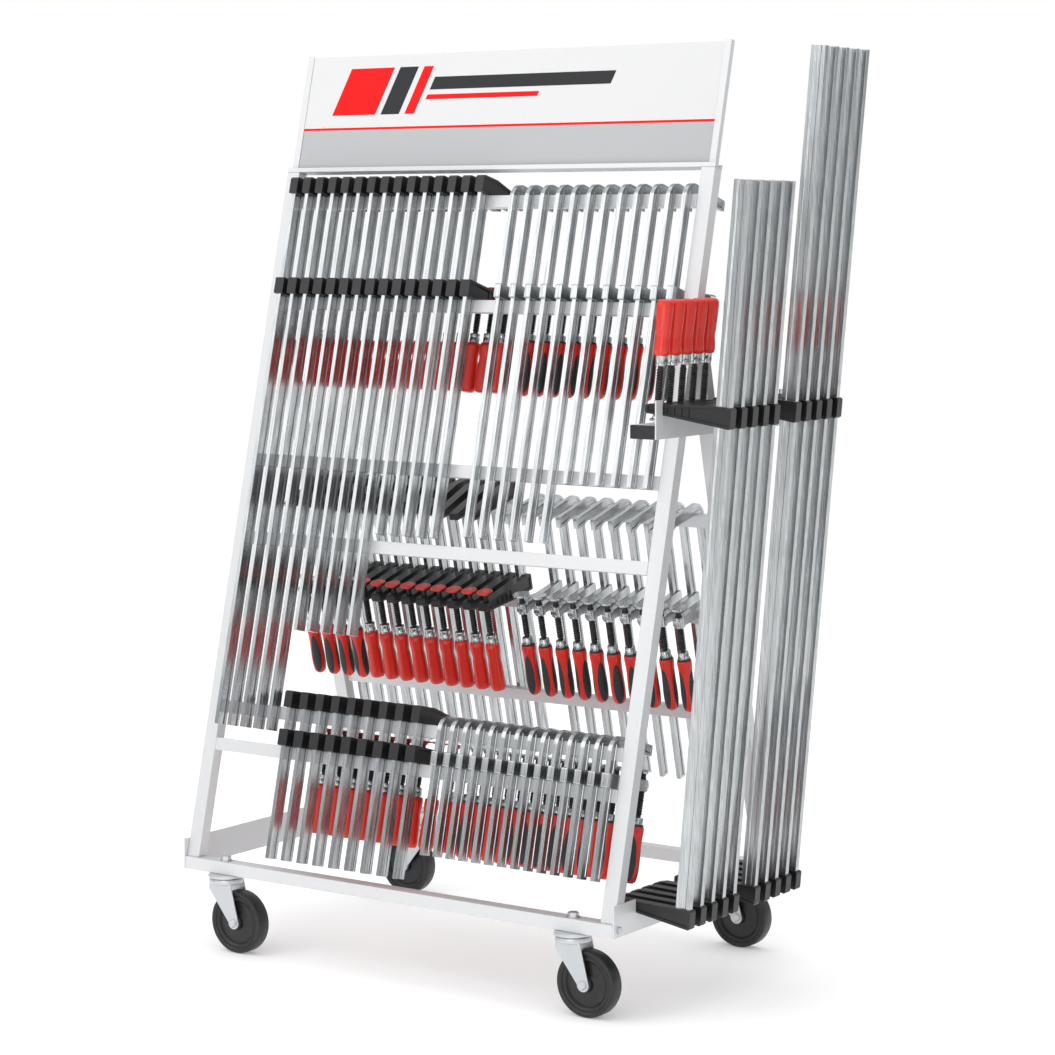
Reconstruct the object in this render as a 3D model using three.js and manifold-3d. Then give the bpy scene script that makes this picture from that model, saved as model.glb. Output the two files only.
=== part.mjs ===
// Rolling clamp rack: a leaning steel frame on four swivel casters, with a sign on top,
// rows of bar clamps hung on its rails and long clamps stood along its right side.
// Millimetres, +Z up, +X to the right of someone facing the sign, +Y to the back.
import * as THREE from 'three';
import { mergeVertices } from 'three/addons/utils/BufferGeometryUtils.js';
import Module from 'manifold-3d';

const wasm = await Module();
wasm.setup();

// Clearances
const SEAT_GAP = 0.3;         // between two pieces that touch
const FUSE_DEPTH = 0.2;       // how far a row's clamps sink into the rail that carries them
const CUT_PAST = 1;           // how far a cutter runs past the face that it opens

// Base
const RACK_WIDTH = 1025;
const BASE_DEPTH = 635;
const BASE_TUBE_DEPTH = 30;
const BASE_TUBE_HEIGHT = 25;
const SIDE_PLATE_HEIGHT = 60;
const SIDE_PLATE_THICK = 3;
const TUBE_WALL = 2;

// Casters
const CASTER_HEIGHT = 155;
const WHEEL_DIAMETER = 125;
const WHEEL_WIDTH = 32;
const WHEEL_SIDES = 16;
const HUB_LENGTH = 37;
const HUB_RADIUS = 15;
const HUB_DRAFT = 3;
const WEB_THICK = 17;
const RIM_INNER_RADIUS = 50;
const AXLE_RADIUS = 6;
const CASTER_TRAIL = 35;
const FRONT_CASTER_INSET = 98;
const REAR_CASTER_INSET = 131;
const CASTER_HEAD_RADIUS = 36;
const CASTER_HEAD_THICK = 7;
const CASTER_BOLT_RADIUS = 6;
const CASTER_NUT_RADIUS = 10.5;
const CASTER_NUT_HEIGHT = 10;
const NUT_SIDES = 6;
const FORK_CROWN_RADIUS = 34;
const FORK_CROWN_THICK = 11;
const FORK_LEG_THICK = 3;
const FORK_FOOT_RADIUS = 13;

// Leaning frame: heights run along the slope, from the base's underside to a rail's top
const LEAN_DEG = 13.86;
const POST_WIDTH = 30;
const POST_DEPTH = 25;
const RAIL_HEIGHT = 25;
const RAIL_DEPTH = 15;
const RAIL_WALL = 1.5;
const UPPER_HOOK_HEIGHT = 1380;
const UPPER_JAW_DROP = 208;
const MIDDLE_RAIL_HEIGHT = 847;
const MIDDLE_RAIL_DROP = 159;
const LOWER_HOOK_HEIGHT = 344;
const LOWER_JAW_DROP = 76;
const HOOK_TO_POST_TOP = 51;
const REAR_LEG_INSET = 49;    // rear leg's outer face to the base's back edge
const REAR_HOOK_HEIGHT = 758;
const REAR_JAW_DROP = 198;
const REAR_LOW_RAIL_HEIGHT = 357;

// Sign
const SIGN_HEIGHT = 244;
const SIGN_THICK = 3;
const SIGN_TRAY_DEPTH = 26;
const SIGN_TRAY_HEIGHT = 9;
const SIGN_CHANNEL_WIDTH = 14;
const SIGN_CHANNEL_DEPTH = 12;
const SIGN_WALL = 1.5;
const SIGN_INSET = 5;
const SIGN_TOP_MARGIN = 3;

// Support arm for the long clamps
const ARM_HEIGHT = 902;       // base's underside to the arm's underside
const ARM_TUBE_WIDTH = 52;
const ARM_TUBE_HEIGHT = 25;
const ARM_FRONT = 52;         // base's front edge to the arm's front end
const ARM_SEAT_RISE = 42;     // arm's underside to the seat of the sliding jaws
const ARM_PLATE_HEIGHT = 70;
const ARM_PLATE_THICK = 3;
const ARM_CAP_THICK = 4;
const PLATE_SEAT_HEIGHT = 35; // base's underside to the seat of the long clamps' fixed jaws
const FRONT_UPSTAND = 74;     // base's front edge to the first long clamp
const REAR_UPSTAND = 50;      // last long clamp's seat to the rear leg

// Cast-jaw clamps
const CAST_BAR_DEPTH = 27;
const CAST_BAR_THICK = 9;
const CAST_THROAT = 115;
const CAST_JAW_HEIGHT = 33;
const CAST_TIP_HEIGHT = 17;
const CAST_NOSE_HEIGHT = 12;
const CAST_TIP_REACH = 15;
const CAST_FIXED_THICK = 19;
const CAST_SLIDE_THICK = 22;
const CAST_SLIDE_RISE = 8;
const JAW_LIP = 4.5;
const CAST_HANDLE_LENGTH = 118;
const CAST_HANDLE_RADIUS = 14.5;
const CAST_BAR_LONG = 1114;
const CAST_BAR_STEP = 202;
const LOWER_CAST_BAR = 326;
const REAR_BAR = 587;

// All-steel clamps, whose bar is bent over to make the fixed arm
const STEEL_BAR_DEPTH = 20;
const STEEL_BAR_THICK = 9;
const STEEL_THROAT = 108;
const STEEL_BEND_RADIUS = 30;
const STEEL_ARM_HEIGHT = 21;
const STEEL_TIP_HEIGHT = 15;
const STEEL_TIP_REACH = 12;
const STEEL_NOSE = 5;
const STEEL_SLIDE_THICK = 15;
const STEEL_SLIDE_HEIGHT = 28;
const STEEL_SLIDE_RISE = 8;
const STEEL_HANDLE_LENGTH = 122;
const STEEL_HANDLE_RADIUS = 14;
const STEEL_BAR_LONG = 695;
const STEEL_BAR_STEP = 114;
const LOWER_STEEL_BAR = 267;

// Long clamps
const LONG_LEAN_DEG = 4.87;
const LONG_BAR_DEPTH = 30;
const LONG_BAR_THICK = 11;
const LONG_THROAT = 123;
const LONG_BAR_OFFSET = 81;   // plate's outer face to the bar, along the jaw
const LONG_JAW_HEIGHT = 36;
const LONG_JAW_TAPER = 9;
const LONG_JAW_THICK = 19;
const LONG_TIP_HEIGHT = 17;
const LONG_NOSE_HEIGHT = 12;
const LONG_SLIDE_CROWN = 2;   // rise of the sliding jaw's loop above the fixed jaw's
const LONG_TIP_REACH = 20;
const LONG_FREE_THREAD = 70;
const LONG_BAR_FRONT = 1343;
const LONG_BAR_REAR = 1586;
const LONG_PITCH = 39;
const LONG_GROUP_COUNT = 5;
const LONG_GROUP_GAP = 78;

// Spindles and pads
const SPINDLE_RADIUS = 6.5;
const SPINDLE_FREE = 45;      // thread showing between the sliding jaw and the handle
const SPINDLE_NECK = 4.5;
const SPINDLE_TANG = 18;
const PAD_RADIUS = 13;
const PAD_THICK = 8;
const PAD_RISE = 8;
const FERRULE_RADIUS = 10;
const FERRULE_LENGTH = 18;

// Turned handles, measured down from the ferrule end
const HANDLE_SHOULDER_DROP = 25;
const HANDLE_WAIST_DROP = 42;
const HANDLE_WAIST_CUT = 1.7;
const HANDLE_END_RADIUS = 10.5;
const HANDLE_END_TAPER = 12;

// Rows
const SIDE_CLEAR = 16.5;      // post's inner face to the middle of a row's end clamp
const UPPER_CAST_COUNT = 15;
const UPPER_CAST_PITCH = 33.1;
const UPPER_STEEL_PITCH = 35.4;
const CAST_GROUP_SIZE = 5;
const STEEL_GROUP_SIZE = 6;
const LOWER_CAST_START = 194; // post's inner face to the first lower clamp
const LOWER_CAST_COUNT = 9;
const LOWER_CAST_PITCH = 39;
const LOWER_STEEL_PITCH = 29.6;
const REAR_CAST_COUNT = 13;
const REAR_CAST_PITCH = 38;
const REAR_STEEL_PITCH = 40;
const GROUP_GAP = 45;         // least space between a row's cast and steel clamps
const ROW_SIDES = 5;
const PIECE_SIDES = 8;
const HOLE_SIDES = 6;

// Worked-out places
const lean = THREE.MathUtils.degToRad(LEAN_DEG);
const longLean = THREE.MathUtils.degToRad(LONG_LEAN_DEG);
const slope = Math.tan(lean);
const postOuter = SIDE_PLATE_THICK + SEAT_GAP;
const postInner = postOuter + POST_WIDTH;
const railStart = postInner + SEAT_GAP;
const railEnd = RACK_WIDTH - railStart;
const postRun = POST_DEPTH / Math.cos(lean);
const postTop = UPPER_HOOK_HEIGHT + HOOK_TO_POST_TOP;
const rearFootY = BASE_DEPTH - REAR_LEG_INSET;

// Finishes
const finish = (color, roughness, metalness) =>
  new THREE.MeshStandardMaterial({ color, roughness, metalness });
const paint = finish(0xd4d6d6, 0.45, 0.3);
const zinc = finish(0xb9bec2, 0.35, 0.9);
const blackIron = finish(0x26282a, 0.6, 0.2);
const redPlastic = finish(0xd8201a, 0.4, 0);
const wheelBlack = finish(0x1d1e20, 0.5, 0);
const signWhite = finish(0xececec, 0.35, 0);
const capBlack = finish(0x2b2d2f, 0.55, 0);

// Joining and cutting
function solid(geometry) {
  const bare = geometry.clone();
  bare.deleteAttribute('normal');
  bare.deleteAttribute('uv');
  const merged = mergeVertices(bare);
  return new wasm.Manifold(new wasm.Mesh({
    numProp: 3,
    vertProperties: new Float32Array(merged.attributes.position.array),
    triVerts: new Uint32Array(merged.index.array),
  }));
}

function joined(geometries) {
  return geometries.map(solid).reduce((sum, next) => sum.add(next));
}

function meshGeometry(manifold) {
  const mesh = manifold.getMesh();
  const geometry = new THREE.BufferGeometry();
  const position = new THREE.BufferAttribute(new Float32Array(mesh.vertProperties), 3);
  geometry.setAttribute('position', position);
  geometry.setIndex(new THREE.BufferAttribute(new Uint32Array(mesh.triVerts), 1));
  geometry.computeVertexNormals();
  return geometry;
}

function cutFrom(geometry, ...tools) {
  return meshGeometry(tools.reduce((left, tool) => left.subtract(solid(tool)), solid(geometry)));
}

function addPiece(parent, name, geometry, material) {
  const mesh = new THREE.Mesh(geometry, material);
  mesh.name = name;
  parent.add(mesh);
  return mesh;
}

// Basic forms
function box(x0, x1, y0, y1, z0, z1) {
  const geometry = new THREE.BoxGeometry(x1 - x0, y1 - y0, z1 - z0);
  return geometry.translate((x0 + x1) / 2, (y0 + y1) / 2, (z0 + z1) / 2);
}

function outlineShape(points) {
  return new THREE.Shape(points.map(([a, b]) => new THREE.Vector2(a, b)));
}

const AXIS_X = new THREE.Vector3(1, 0, 0);
const AXIS_Y = new THREE.Vector3(0, 1, 0);
const AXIS_Z = new THREE.Vector3(0, 0, 1);

function extrudeShape(shape, depth, curveSegments) {
  return new THREE.ExtrudeGeometry(shape, { depth, bevelEnabled: false, curveSegments });
}

// A shape drawn in Y and Z, run from x0 to x1
function prismX(shape, x0, x1, curveSegments = 1) {
  const geometry = extrudeShape(shape, x1 - x0, curveSegments);
  geometry.applyMatrix4(new THREE.Matrix4().makeBasis(AXIS_Y, AXIS_Z, AXIS_X));
  return geometry.translate(x0, 0, 0);
}

// A shape drawn in X and Z, run from y0 to y1
function prismY(shape, y0, y1, curveSegments = 3) {
  const geometry = extrudeShape(shape, y1 - y0, curveSegments);
  const back = AXIS_Y.clone().negate();
  geometry.applyMatrix4(new THREE.Matrix4().makeBasis(AXIS_X, AXIS_Z, back));
  return geometry.translate(0, y1, 0);
}

// A profile of [radius, height] points turned about the Z axis
function turnedZ(profile, sides) {
  const points = profile.map(([radius, height]) => new THREE.Vector2(radius, height));
  return new THREE.LatheGeometry(points, sides).rotateX(Math.PI / 2);
}

function rodZ(radius, z0, z1, sides) {
  return turnedZ([[0, z0], [radius, z0], [radius, z1], [0, z1]], sides);
}

// A cutter whose flats, not its corners, clear a rod of the given radius
function holeZ(radius, z0, z1, sides) {
  return rodZ((radius + SEAT_GAP) / Math.cos(Math.PI / sides), z0, z1, sides);
}

// Base: two tubes between two upright side plates
function baseTube(holeXs) {
  const left = SIDE_PLATE_THICK + SEAT_GAP;
  const right = RACK_WIDTH - left;
  const outside = box(left, right, 0, BASE_TUBE_DEPTH, 0, BASE_TUBE_HEIGHT);
  const inside = box(left - CUT_PAST, right + CUT_PAST, TUBE_WALL, BASE_TUBE_DEPTH - TUBE_WALL,
    TUBE_WALL, BASE_TUBE_HEIGHT - TUBE_WALL);
  const holes = holeXs.map((x) =>
    holeZ(CASTER_BOLT_RADIUS, -CUT_PAST, BASE_TUBE_HEIGHT + CUT_PAST, HOLE_SIDES)
      .translate(x, BASE_TUBE_DEPTH / 2, 0));
  return cutFrom(outside, inside, ...holes);
}

function plainSidePlate() {
  return box(0, SIDE_PLATE_THICK, 0, BASE_DEPTH, 0, SIDE_PLATE_HEIGHT);
}

const notchEnd = rearFootY - postRun - SIDE_PLATE_HEIGHT * slope - REAR_UPSTAND;

// The plate or flange that long clamps rest on: low where the jaws lie, high at both ends
function notchedPlate(frontY, backY, height, seat, thick) {
  const outline = outlineShape([
    [frontY, 0], [backY, 0], [backY, height], [notchEnd, height],
    [notchEnd, seat], [FRONT_UPSTAND, seat], [FRONT_UPSTAND, height], [frontY, height],
  ]);
  return prismX(outline, RACK_WIDTH - SIDE_PLATE_THICK, RACK_WIDTH - SIDE_PLATE_THICK + thick);
}

// Casters, each drawn about its swivel axis with the base's underside at z = 0
const wheelCentreZ = WHEEL_DIAMETER / 2 - CASTER_HEIGHT;
const headBottom = -SEAT_GAP - CASTER_HEAD_THICK;
const crownTop = headBottom - SEAT_GAP;
const legInner = HUB_LENGTH / 2 + SEAT_GAP;
const legOuter = legInner + FORK_LEG_THICK;

function casterHead() {
  const nutFoot = BASE_TUBE_HEIGHT + SEAT_GAP;
  const nutTop = nutFoot + CASTER_NUT_HEIGHT;
  const body = turnedZ([
    [0, headBottom], [CASTER_HEAD_RADIUS, headBottom], [CASTER_HEAD_RADIUS, -SEAT_GAP],
    [CASTER_BOLT_RADIUS, -SEAT_GAP], [CASTER_BOLT_RADIUS, nutTop + SEAT_GAP], [0, nutTop + SEAT_GAP],
  ], PIECE_SIDES);
  return meshGeometry(joined([body, rodZ(CASTER_NUT_RADIUS, nutFoot, nutTop, NUT_SIDES)]));
}

function casterFork() {
  const crown = rodZ(FORK_CROWN_RADIUS, crownTop - FORK_CROWN_THICK, crownTop, PIECE_SIDES);
  const halfChord = Math.sqrt(FORK_CROWN_RADIUS ** 2 - legOuter ** 2);
  const leg = new THREE.Shape();
  leg.moveTo(-halfChord, crownTop);
  leg.lineTo(-halfChord, crownTop - 2 * FORK_CROWN_THICK);
  leg.lineTo(CASTER_TRAIL - FORK_FOOT_RADIUS, wheelCentreZ);
  leg.absarc(CASTER_TRAIL, wheelCentreZ, FORK_FOOT_RADIUS, -Math.PI, 0, false);
  leg.lineTo(halfChord, crownTop);
  const axle = new THREE.CylinderGeometry(AXLE_RADIUS, AXLE_RADIUS, 2 * legOuter, PIECE_SIDES);
  axle.translate(CASTER_TRAIL, 0, wheelCentreZ);
  return meshGeometry(joined([
    crown, prismY(leg, legInner, legOuter), prismY(leg, -legOuter, -legInner), axle,
  ]));
}

// A wheel with a recessed web on both sides; its tread is flat facets that stand on the floor
function casterWheel() {
  const half = [
    [AXLE_RADIUS + SEAT_GAP, HUB_LENGTH / 2], [HUB_RADIUS, HUB_LENGTH / 2],
    [HUB_RADIUS + HUB_DRAFT, WEB_THICK / 2], [RIM_INNER_RADIUS, WEB_THICK / 2],
    [WHEEL_DIAMETER / 2 / Math.cos(Math.PI / WHEEL_SIDES), WHEEL_WIDTH / 2],
  ];
  const mirrored = half.map(([radius, y]) => [radius, -y]);
  const profile = [...mirrored, ...half.reverse(), mirrored[0]];
  const points = profile.map(([radius, y]) => new THREE.Vector2(radius, y));
  return new THREE.LatheGeometry(points, WHEEL_SIDES, Math.PI / WHEEL_SIDES);
}

function addCaster(parent, name, x, y, turn) {
  const caster = new THREE.Group();
  caster.position.set(x, y, CASTER_HEIGHT);
  caster.rotation.z = turn;
  addPiece(caster, `${name}_caster_head`, casterHead(), zinc);
  addPiece(caster, `${name}_caster_fork`, casterFork(), zinc);
  const wheel = addPiece(caster, `${name}_caster_wheel`, casterWheel(), wheelBlack);
  wheel.position.set(CASTER_TRAIL, 0, wheelCentreZ);
  parent.add(caster);
}

// Posts and rails, drawn on the leaning face: y runs into the rack, z up the slope
function frontPost() {
  const footAt = (y) => (BASE_TUBE_HEIGHT + SEAT_GAP + y * Math.sin(lean)) / Math.cos(lean);
  const outside = outlineShape([
    [0, footAt(0)], [POST_DEPTH, footAt(POST_DEPTH)], [POST_DEPTH, postTop], [0, postTop],
  ]);
  const inside = box(TUBE_WALL, POST_WIDTH - TUBE_WALL, TUBE_WALL, POST_DEPTH - TUBE_WALL,
    -POST_DEPTH, postTop + CUT_PAST);
  return cutFrom(prismX(outside, 0, POST_WIDTH), inside);
}

// A rear leg stands between the side plates and is cut off against the back of the front post
function rearLeg() {
  const outerAt = (z) => rearFootY - z * slope;
  const innerAt = (z) => outerAt(z) - postRun;
  const foot = TUBE_WALL;
  const outerTop = (rearFootY - postRun - SEAT_GAP) / (2 * slope);
  const innerTop = (rearFootY - 2 * postRun - SEAT_GAP) / (2 * slope);
  const outline = outlineShape([
    [innerAt(foot), foot], [outerAt(foot), foot],
    [outerAt(outerTop), outerTop], [innerAt(innerTop), innerTop],
  ]);
  return prismX(outline, 0, POST_WIDTH);
}

function rail(top) {
  const outside = box(railStart, railEnd, 0, RAIL_DEPTH, top - RAIL_HEIGHT, top);
  const inside = box(railStart - CUT_PAST, railEnd + CUT_PAST, RAIL_WALL, RAIL_DEPTH - RAIL_WALL,
    top - RAIL_HEIGHT + RAIL_WALL, top - RAIL_WALL);
  return cutFrom(outside, inside);
}

// Clamps on the rails: x = 0 is the clamp's middle, y = 0 the rail's face, z = 0 the rail's top
const barBack = -SEAT_GAP;

const castKind = {
  barDepth: CAST_BAR_DEPTH, barThick: CAST_BAR_THICK, throat: CAST_THROAT,
  slideThick: CAST_SLIDE_THICK, slideHeight: CAST_JAW_HEIGHT, slideRise: CAST_SLIDE_RISE,
  tipHeight: CAST_TIP_HEIGHT, tipReach: CAST_TIP_REACH,
  handleLength: CAST_HANDLE_LENGTH, handleRadius: CAST_HANDLE_RADIUS,
};
const steelKind = {
  barDepth: STEEL_BAR_DEPTH, barThick: STEEL_BAR_THICK, throat: STEEL_THROAT,
  slideThick: STEEL_SLIDE_THICK, slideHeight: STEEL_SLIDE_HEIGHT, slideRise: STEEL_SLIDE_RISE,
  tipHeight: STEEL_TIP_HEIGHT, tipReach: STEEL_TIP_REACH,
  handleLength: STEEL_HANDLE_LENGTH, handleRadius: STEEL_HANDLE_RADIUS,
};

function castFixedJaw() {
  const front = barBack - CAST_BAR_DEPTH - JAW_LIP;
  const tip = CAST_THROAT + CAST_TIP_REACH;
  const outline = outlineShape([
    [front, 0], [tip, 0], [tip, CAST_NOSE_HEIGHT],
    [RAIL_DEPTH, CAST_JAW_HEIGHT], [front, CAST_JAW_HEIGHT],
  ]);
  return prismX(outline, -CAST_FIXED_THICK / 2, CAST_FIXED_THICK / 2);
}

function castBar(length) {
  const half = CAST_BAR_THICK / 2;
  const top = CAST_JAW_HEIGHT - JAW_LIP;
  return box(-half, half, barBack - CAST_BAR_DEPTH, barBack, top - length, top);
}

function steelBar(length) {
  const front = barBack - STEEL_BAR_DEPTH;
  const tip = STEEL_THROAT + STEEL_TIP_REACH;
  const shape = new THREE.Shape();
  shape.moveTo(barBack, STEEL_ARM_HEIGHT - length);
  shape.lineTo(front, STEEL_ARM_HEIGHT - length);
  shape.lineTo(front, STEEL_ARM_HEIGHT - STEEL_BEND_RADIUS);
  shape.absarc(front + STEEL_BEND_RADIUS, STEEL_ARM_HEIGHT - STEEL_BEND_RADIUS, STEEL_BEND_RADIUS,
    Math.PI, Math.PI / 2, true);
  shape.lineTo(tip, STEEL_TIP_HEIGHT);
  shape.lineTo(tip, -STEEL_NOSE);
  shape.lineTo(tip - 2 * STEEL_TIP_REACH, -STEEL_NOSE);
  shape.lineTo(tip - 3 * STEEL_TIP_REACH, 0);
  shape.lineTo(barBack, 0);
  return prismX(shape, -STEEL_BAR_THICK / 2, STEEL_BAR_THICK / 2);
}

function barSlot(kind, height) {
  const half = kind.barThick / 2 + SEAT_GAP;
  return box(-half, half, barBack - kind.barDepth - SEAT_GAP, 0, -height, 2 * height);
}

function slidingJaw(kind) {
  const front = barBack - kind.barDepth - JAW_LIP;
  const tip = kind.throat + kind.tipReach;
  const outline = outlineShape([
    [front, 0], [RAIL_DEPTH + JAW_LIP, 0], [tip, kind.slideRise],
    [tip, kind.slideRise + kind.tipHeight], [front, kind.slideHeight],
  ]);
  const body = prismX(outline, -kind.slideThick / 2, kind.slideThick / 2);
  return cutFrom(body, barSlot(kind, kind.slideHeight));
}

// The thread and handle of a clamp in a row, as one turned form under its jaw
function rowSpindle(kind) {
  const top = kind.slideRise + kind.tipHeight / 2;
  const grip = -SPINDLE_FREE;
  const end = grip - kind.handleLength;
  return turnedZ([
    [0, end], [HANDLE_END_RADIUS, end], [kind.handleRadius, grip - FERRULE_LENGTH],
    [SPINDLE_RADIUS, grip], [SPINDLE_RADIUS, top], [0, top],
  ], ROW_SIDES).translate(0, kind.throat, 0);
}

function castRow(xs, lengthAt, hookZ) {
  return xs.flatMap((x, i) => [castFixedJaw(), castBar(lengthAt(i))]
    .map((piece) => piece.translate(x, 0, hookZ - FUSE_DEPTH)));
}

function steelRow(xs, lengthAt, hookZ) {
  return xs.map((x, i) => steelBar(lengthAt(i)).translate(x, 0, hookZ - FUSE_DEPTH));
}

function jawRow(kind, xs, jawZ) {
  return xs.flatMap((x) => [slidingJaw(kind), rowSpindle(kind)]
    .map((piece) => piece.translate(x, 0, jawZ - FUSE_DEPTH)));
}

const evenXs = (first, pitch, count) => Array.from({ length: count }, (_, i) => first + i * pitch);

// As many clamps as fit between two places, counted back from the far one
function fillingXs(from, to, pitch) {
  const count = Math.max(1, 1 + Math.floor((to - from) / pitch));
  return evenXs(to - (count - 1) * pitch, pitch, count);
}

const firstX = postInner + SIDE_CLEAR;
const lastX = RACK_WIDTH - firstX;

const upperCastXs = evenXs(firstX, UPPER_CAST_PITCH, UPPER_CAST_COUNT);
const upperSteelXs = fillingXs(upperCastXs.at(-1) + GROUP_GAP, lastX, UPPER_STEEL_PITCH);
const lowerCastXs = evenXs(postInner + LOWER_CAST_START, LOWER_CAST_PITCH, LOWER_CAST_COUNT);
const lowerSteelXs = fillingXs(lowerCastXs.at(-1) + GROUP_GAP, lastX, LOWER_STEEL_PITCH);
const rearSteelXs = fillingXs(firstX, lastX - REAR_CAST_COUNT * REAR_CAST_PITCH - GROUP_GAP,
  REAR_STEEL_PITCH);
const rearCastXs = evenXs(lastX - (REAR_CAST_COUNT - 1) * REAR_CAST_PITCH, REAR_CAST_PITCH,
  REAR_CAST_COUNT);

const upperCastLength = (i) => CAST_BAR_LONG - CAST_BAR_STEP * Math.floor(i / CAST_GROUP_SIZE);
const upperSteelLength = (i) => STEEL_BAR_LONG - STEEL_BAR_STEP * (i < STEEL_GROUP_SIZE ? 0 : 1);

function addRow(face, name, hookTop, jawTop, rows) {
  const bars = joined([
    rail(hookTop),
    ...castRow(rows.castXs, rows.castLength, hookTop),
    ...steelRow(rows.steelXs, rows.steelLength, hookTop),
  ]);
  const jaws = joined([
    rail(jawTop),
    ...jawRow(castKind, rows.castXs, jawTop),
    ...jawRow(steelKind, rows.steelXs, jawTop),
  ]);
  addPiece(face, `${name}_hook_rail_and_bars`, meshGeometry(bars), zinc);
  addPiece(face, `${name}_jaw_rail_and_jaws`, meshGeometry(jaws), blackIron);
}

// Loose clamps: every piece by itself, with its running clearance
function clampSpindle(top, end) {
  return turnedZ([
    [0, end], [SPINDLE_RADIUS, end], [SPINDLE_RADIUS, top - PAD_THICK],
    [SPINDLE_NECK, top - PAD_THICK], [SPINDLE_NECK, top - PAD_THICK / 2], [0, top - PAD_THICK / 2],
  ], PIECE_SIDES);
}

function clampPad(top) {
  const socket = top - PAD_THICK / 2 + SEAT_GAP;
  const foot = top - PAD_THICK + SEAT_GAP;
  const bore = (SPINDLE_NECK + SEAT_GAP) / Math.cos(Math.PI / PIECE_SIDES);
  return turnedZ([
    [0, socket], [bore, socket], [bore, foot], [PAD_RADIUS, foot], [PAD_RADIUS, top], [0, top],
  ], PIECE_SIDES);
}

// A handle with a blind bore for the spindle's tang, its ferrule end at z = 0 and its end below
function clampHandle(length, radius) {
  const bore = SPINDLE_RADIUS + SEAT_GAP;
  const boreEnd = -SPINDLE_TANG - SEAT_GAP;
  return turnedZ([
    [0, -length], [HANDLE_END_RADIUS, -length], [radius, HANDLE_END_TAPER - length],
    [radius - HANDLE_WAIST_CUT, -HANDLE_WAIST_DROP], [radius, -HANDLE_SHOULDER_DROP],
    [FERRULE_RADIUS, -FERRULE_LENGTH], [FERRULE_RADIUS, 0],
    [bore, 0], [bore, boreEnd], [0, boreEnd],
  ], PIECE_SIDES);
}

function spindleHole(height) {
  return holeZ(SPINDLE_RADIUS, -height, 2 * height, PIECE_SIDES);
}

function addLooseClamp(face, name, kind, x, hookTop, jawTop, bar, fixedJaw) {
  const hung = new THREE.Group();
  hung.position.set(x, 0, hookTop + SEAT_GAP);
  addPiece(hung, `${name}_bar`, bar, zinc);
  if (fixedJaw) addPiece(hung, `${name}_fixed_jaw`, cutFrom(fixedJaw, socketFor(kind)), blackIron);
  const sliding = new THREE.Group();
  sliding.position.set(x, 0, jawTop + SEAT_GAP);
  const hole = spindleHole(kind.slideHeight).translate(0, kind.throat, 0);
  const jaw = cutFrom(slidingJaw(kind), hole);
  addPiece(sliding, `${name}_sliding_jaw`, jaw, fixedJaw ? blackIron : zinc);
  const screw = new THREE.Group();
  screw.position.y = kind.throat;
  const top = kind.slideRise + kind.tipHeight + PAD_RISE + PAD_THICK;
  addPiece(screw, `${name}_spindle`, clampSpindle(top, -SPINDLE_FREE - SPINDLE_TANG), blackIron);
  addPiece(screw, `${name}_pad`, clampPad(top), zinc);
  const handle = clampHandle(kind.handleLength, kind.handleRadius);
  addPiece(screw, `${name}_handle`, handle, redPlastic).position.z = -SPINDLE_FREE;
  sliding.add(screw);
  face.add(hung, sliding);
}

// The pocket in a cast fixed jaw that takes the top of its bar
function socketFor(kind) {
  const half = kind.barThick / 2 + SEAT_GAP;
  const roof = CAST_JAW_HEIGHT - JAW_LIP + SEAT_GAP;
  return box(-half, half, barBack - kind.barDepth - SEAT_GAP, barBack + SEAT_GAP, -CUT_PAST, roof);
}

// Long clamps stand on the right side plate and lean out: x runs out along the jaw,
// z up the bar, and the fixed jaw's seat is at the origin
const longTip = LONG_BAR_OFFSET - LONG_THROAT - LONG_TIP_REACH;
const longSpindleX = LONG_BAR_OFFSET - LONG_THROAT;
const longHead = LONG_BAR_OFFSET + LONG_BAR_DEPTH + JAW_LIP;
const armInner = RACK_WIDTH - SIDE_PLATE_THICK;
const armPlateInner = armInner + ARM_TUBE_WIDTH + SEAT_GAP;
const armSeatX = armPlateInner + ARM_PLATE_THICK - (RACK_WIDTH - SIDE_PLATE_THICK / 2);
const armSeatZ = ARM_HEIGHT + ARM_SEAT_RISE - PLATE_SEAT_HEIGHT;
const slideSeatX = armSeatX * Math.cos(longLean) - armSeatZ * Math.sin(longLean);
const slideSeatZ = armSeatX * Math.sin(longLean) + armSeatZ * Math.cos(longLean);

function longFixedJaw() {
  const outline = outlineShape([
    [longTip, 0], [0, 0], [longHead, -LONG_JAW_TAPER], [longHead, LONG_JAW_HEIGHT - LONG_JAW_TAPER],
    [longSpindleX, LONG_JAW_HEIGHT - 2 * LONG_JAW_TAPER], [longTip, LONG_NOSE_HEIGHT],
  ]);
  return prismY(outline, -LONG_JAW_THICK / 2, LONG_JAW_THICK / 2);
}

function longBar(length) {
  const foot = JAW_LIP - LONG_JAW_TAPER;
  const half = LONG_BAR_THICK / 2;
  return box(LONG_BAR_OFFSET, LONG_BAR_OFFSET + LONG_BAR_DEPTH, -half, half, foot, foot + length);
}

function longSlot(z0, z1) {
  const half = LONG_BAR_THICK / 2 + SEAT_GAP;
  return box(LONG_BAR_OFFSET - SEAT_GAP, LONG_BAR_OFFSET + LONG_BAR_DEPTH + SEAT_GAP,
    -half, half, z0, z1);
}

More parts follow.
